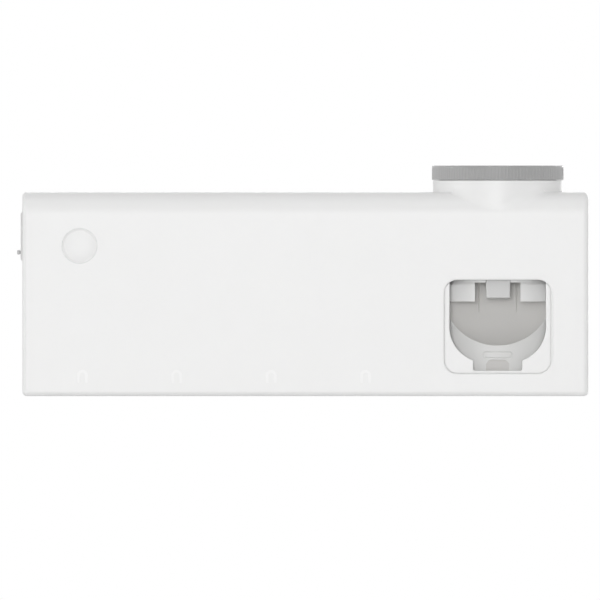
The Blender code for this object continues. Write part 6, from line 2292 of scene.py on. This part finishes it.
@dataclass
class Lamp:
    """One soft area lamp, aimed at a point."""

    name: str
    place: Place
    size: float
    power: float
    aim: Place = (0.0, -0.035, 0.0)

    def build(self) -> None:
        """Makes the lamp."""
        data = bpy.data.lights.new(self.name, "AREA")
        data.shape = "SQUARE"
        data.size = self.size
        data.energy = self.power
        lamp = bpy.data.objects.new(self.name, data)
        lamp.location = self.place
        lamp.rotation_euler = (Vector(self.aim) - Vector(self.place)).to_track_quat("-Z", "Y").to_euler()
        lamp.visible_camera = False
        bpy.context.scene.collection.objects.link(lamp)


@dataclass
class Studio:
    """Camera, lamps, world and the pale floor."""

    camera_place: Place = (-0.00265, -1.0, -0.00295)
    view_width: float = 0.3
    floor_z: float = -0.16
    floor_half: float = 3.0
    far_end: float = 20.0
    ambient: float = 0.395
    lamps: tuple[Lamp, ...] = (
        Lamp("key", (-0.052, -3.033, 0.105), 0.5, 20.4),
        Lamp("key_high", (-0.052, -2.989, 0.521), 0.5, 5.0),
        Lamp("key_wide", (-0.105, -3.029, 0.157), 1.6, 1.9),
        Lamp("left", (-2.776, -1.046, 0.521), 1.6, 17.9),
        Lamp("right", (2.776, -1.046, 0.521), 1.6, 7.6),
        Lamp("top", (0.0, -1.535, 2.598), 1.6, 7.6),
        Lamp("back", (0.5, 2.93, 0.28), 1.6, 40.0),
    )

    def camera(self) -> None:
        """The square-on view of the photograph."""
        data = bpy.data.cameras.new("view")
        data.type = "ORTHO"
        data.ortho_scale = self.view_width
        data.clip_end = self.far_end
        eye = bpy.data.objects.new("view", data)
        eye.location = self.camera_place
        eye.rotation_euler = (math.pi / 2, 0, 0)
        bpy.context.scene.collection.objects.link(eye)
        bpy.context.scene.camera = eye

    def world(self) -> None:
        """A white surround, seen as plain white and lighting the object a little less."""
        world = bpy.data.worlds.new("surround")
        world.use_nodes = True
        world.node_tree.nodes.clear()
        wires = Wiring(world.node_tree)
        light, seen = (
            wires.add("ShaderNodeBackground", {"Strength": strength, "Color": (1, 1, 1, 1)}).outputs[0]
            for strength in (self.ambient, 1.0)
        )
        path = wires.add("ShaderNodeLightPath").outputs
        first = wires.calculated("MAXIMUM", path["Is Camera Ray"], path["Is Glossy Ray"])
        either = wires.calculated("MAXIMUM", first, path["Is Transmission Ray"])
        mix = wires.add("ShaderNodeMixShader", {0: either, 1: light, 2: seen}).outputs[0]
        wires.add("ShaderNodeOutputWorld", {0: mix})
        bpy.context.scene.world = world

    def floor(self) -> None:
        """The plain pale floor below the object, clear from underneath so that the ports can be looked at."""
        bm = bmesh.new()
        half = self.floor_half
        corners = [(-half, -half), (half, -half), (half, half), (-half, half)]
        bm.faces.new([bm.verts.new((x, y, self.floor_z)) for x, y in corners])
        values = {
            "Colour": (0.9, 0.9, 0.9, 1), "Shade": (0.87, 0.87, 0.87, 1), "Cloud": 0.4, "Roughness": 0.8,
            "Rubbing": 0.05, "Grain Scale": 300.0, "Grain Height": 0.1,
        }
        mat = surfaced("pale_floor", moulded_group(), values, {})
        wires, nodes = Wiring(mat.node_tree), mat.node_tree.nodes
        side = wires.add("ShaderNodeNewGeometry").outputs["Backfacing"]
        clear = wires.add("ShaderNodeBsdfTransparent").outputs[0]
        shown = {0: side, 1: nodes["Principled BSDF"].outputs[0], 2: clear}
        either = wires.add("ShaderNodeMixShader", shown).outputs[0]
        wires.feed(nodes["Material Output"], {"Surface": either})
        dressed(made("floor", bm), mat)

    def build(self) -> None:
        """Sets the studio up."""
        bpy.context.scene.view_settings.view_transform = "Standard"
        self.camera()
        self.world()
        self.floor()
        for lamp in self.lamps:
            lamp.build()


def main() -> None:
    """Builds the studio and every sub-assembly."""
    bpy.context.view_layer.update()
    Studio().build()
    shop = Workshop()
    parts = (
        Housing(), WindowFrame(), StartButton(), SidePanel(), GripRing(), DispenserCup(), PasteSpout(),
        SwingPlate(), BrushPorts(), RearSide(), InnerWorks(),
    )
    for part in parts:
        log.info("building %s", type(part).__name__)
        part.build(shop)


if __name__ == "__main__":
    main()
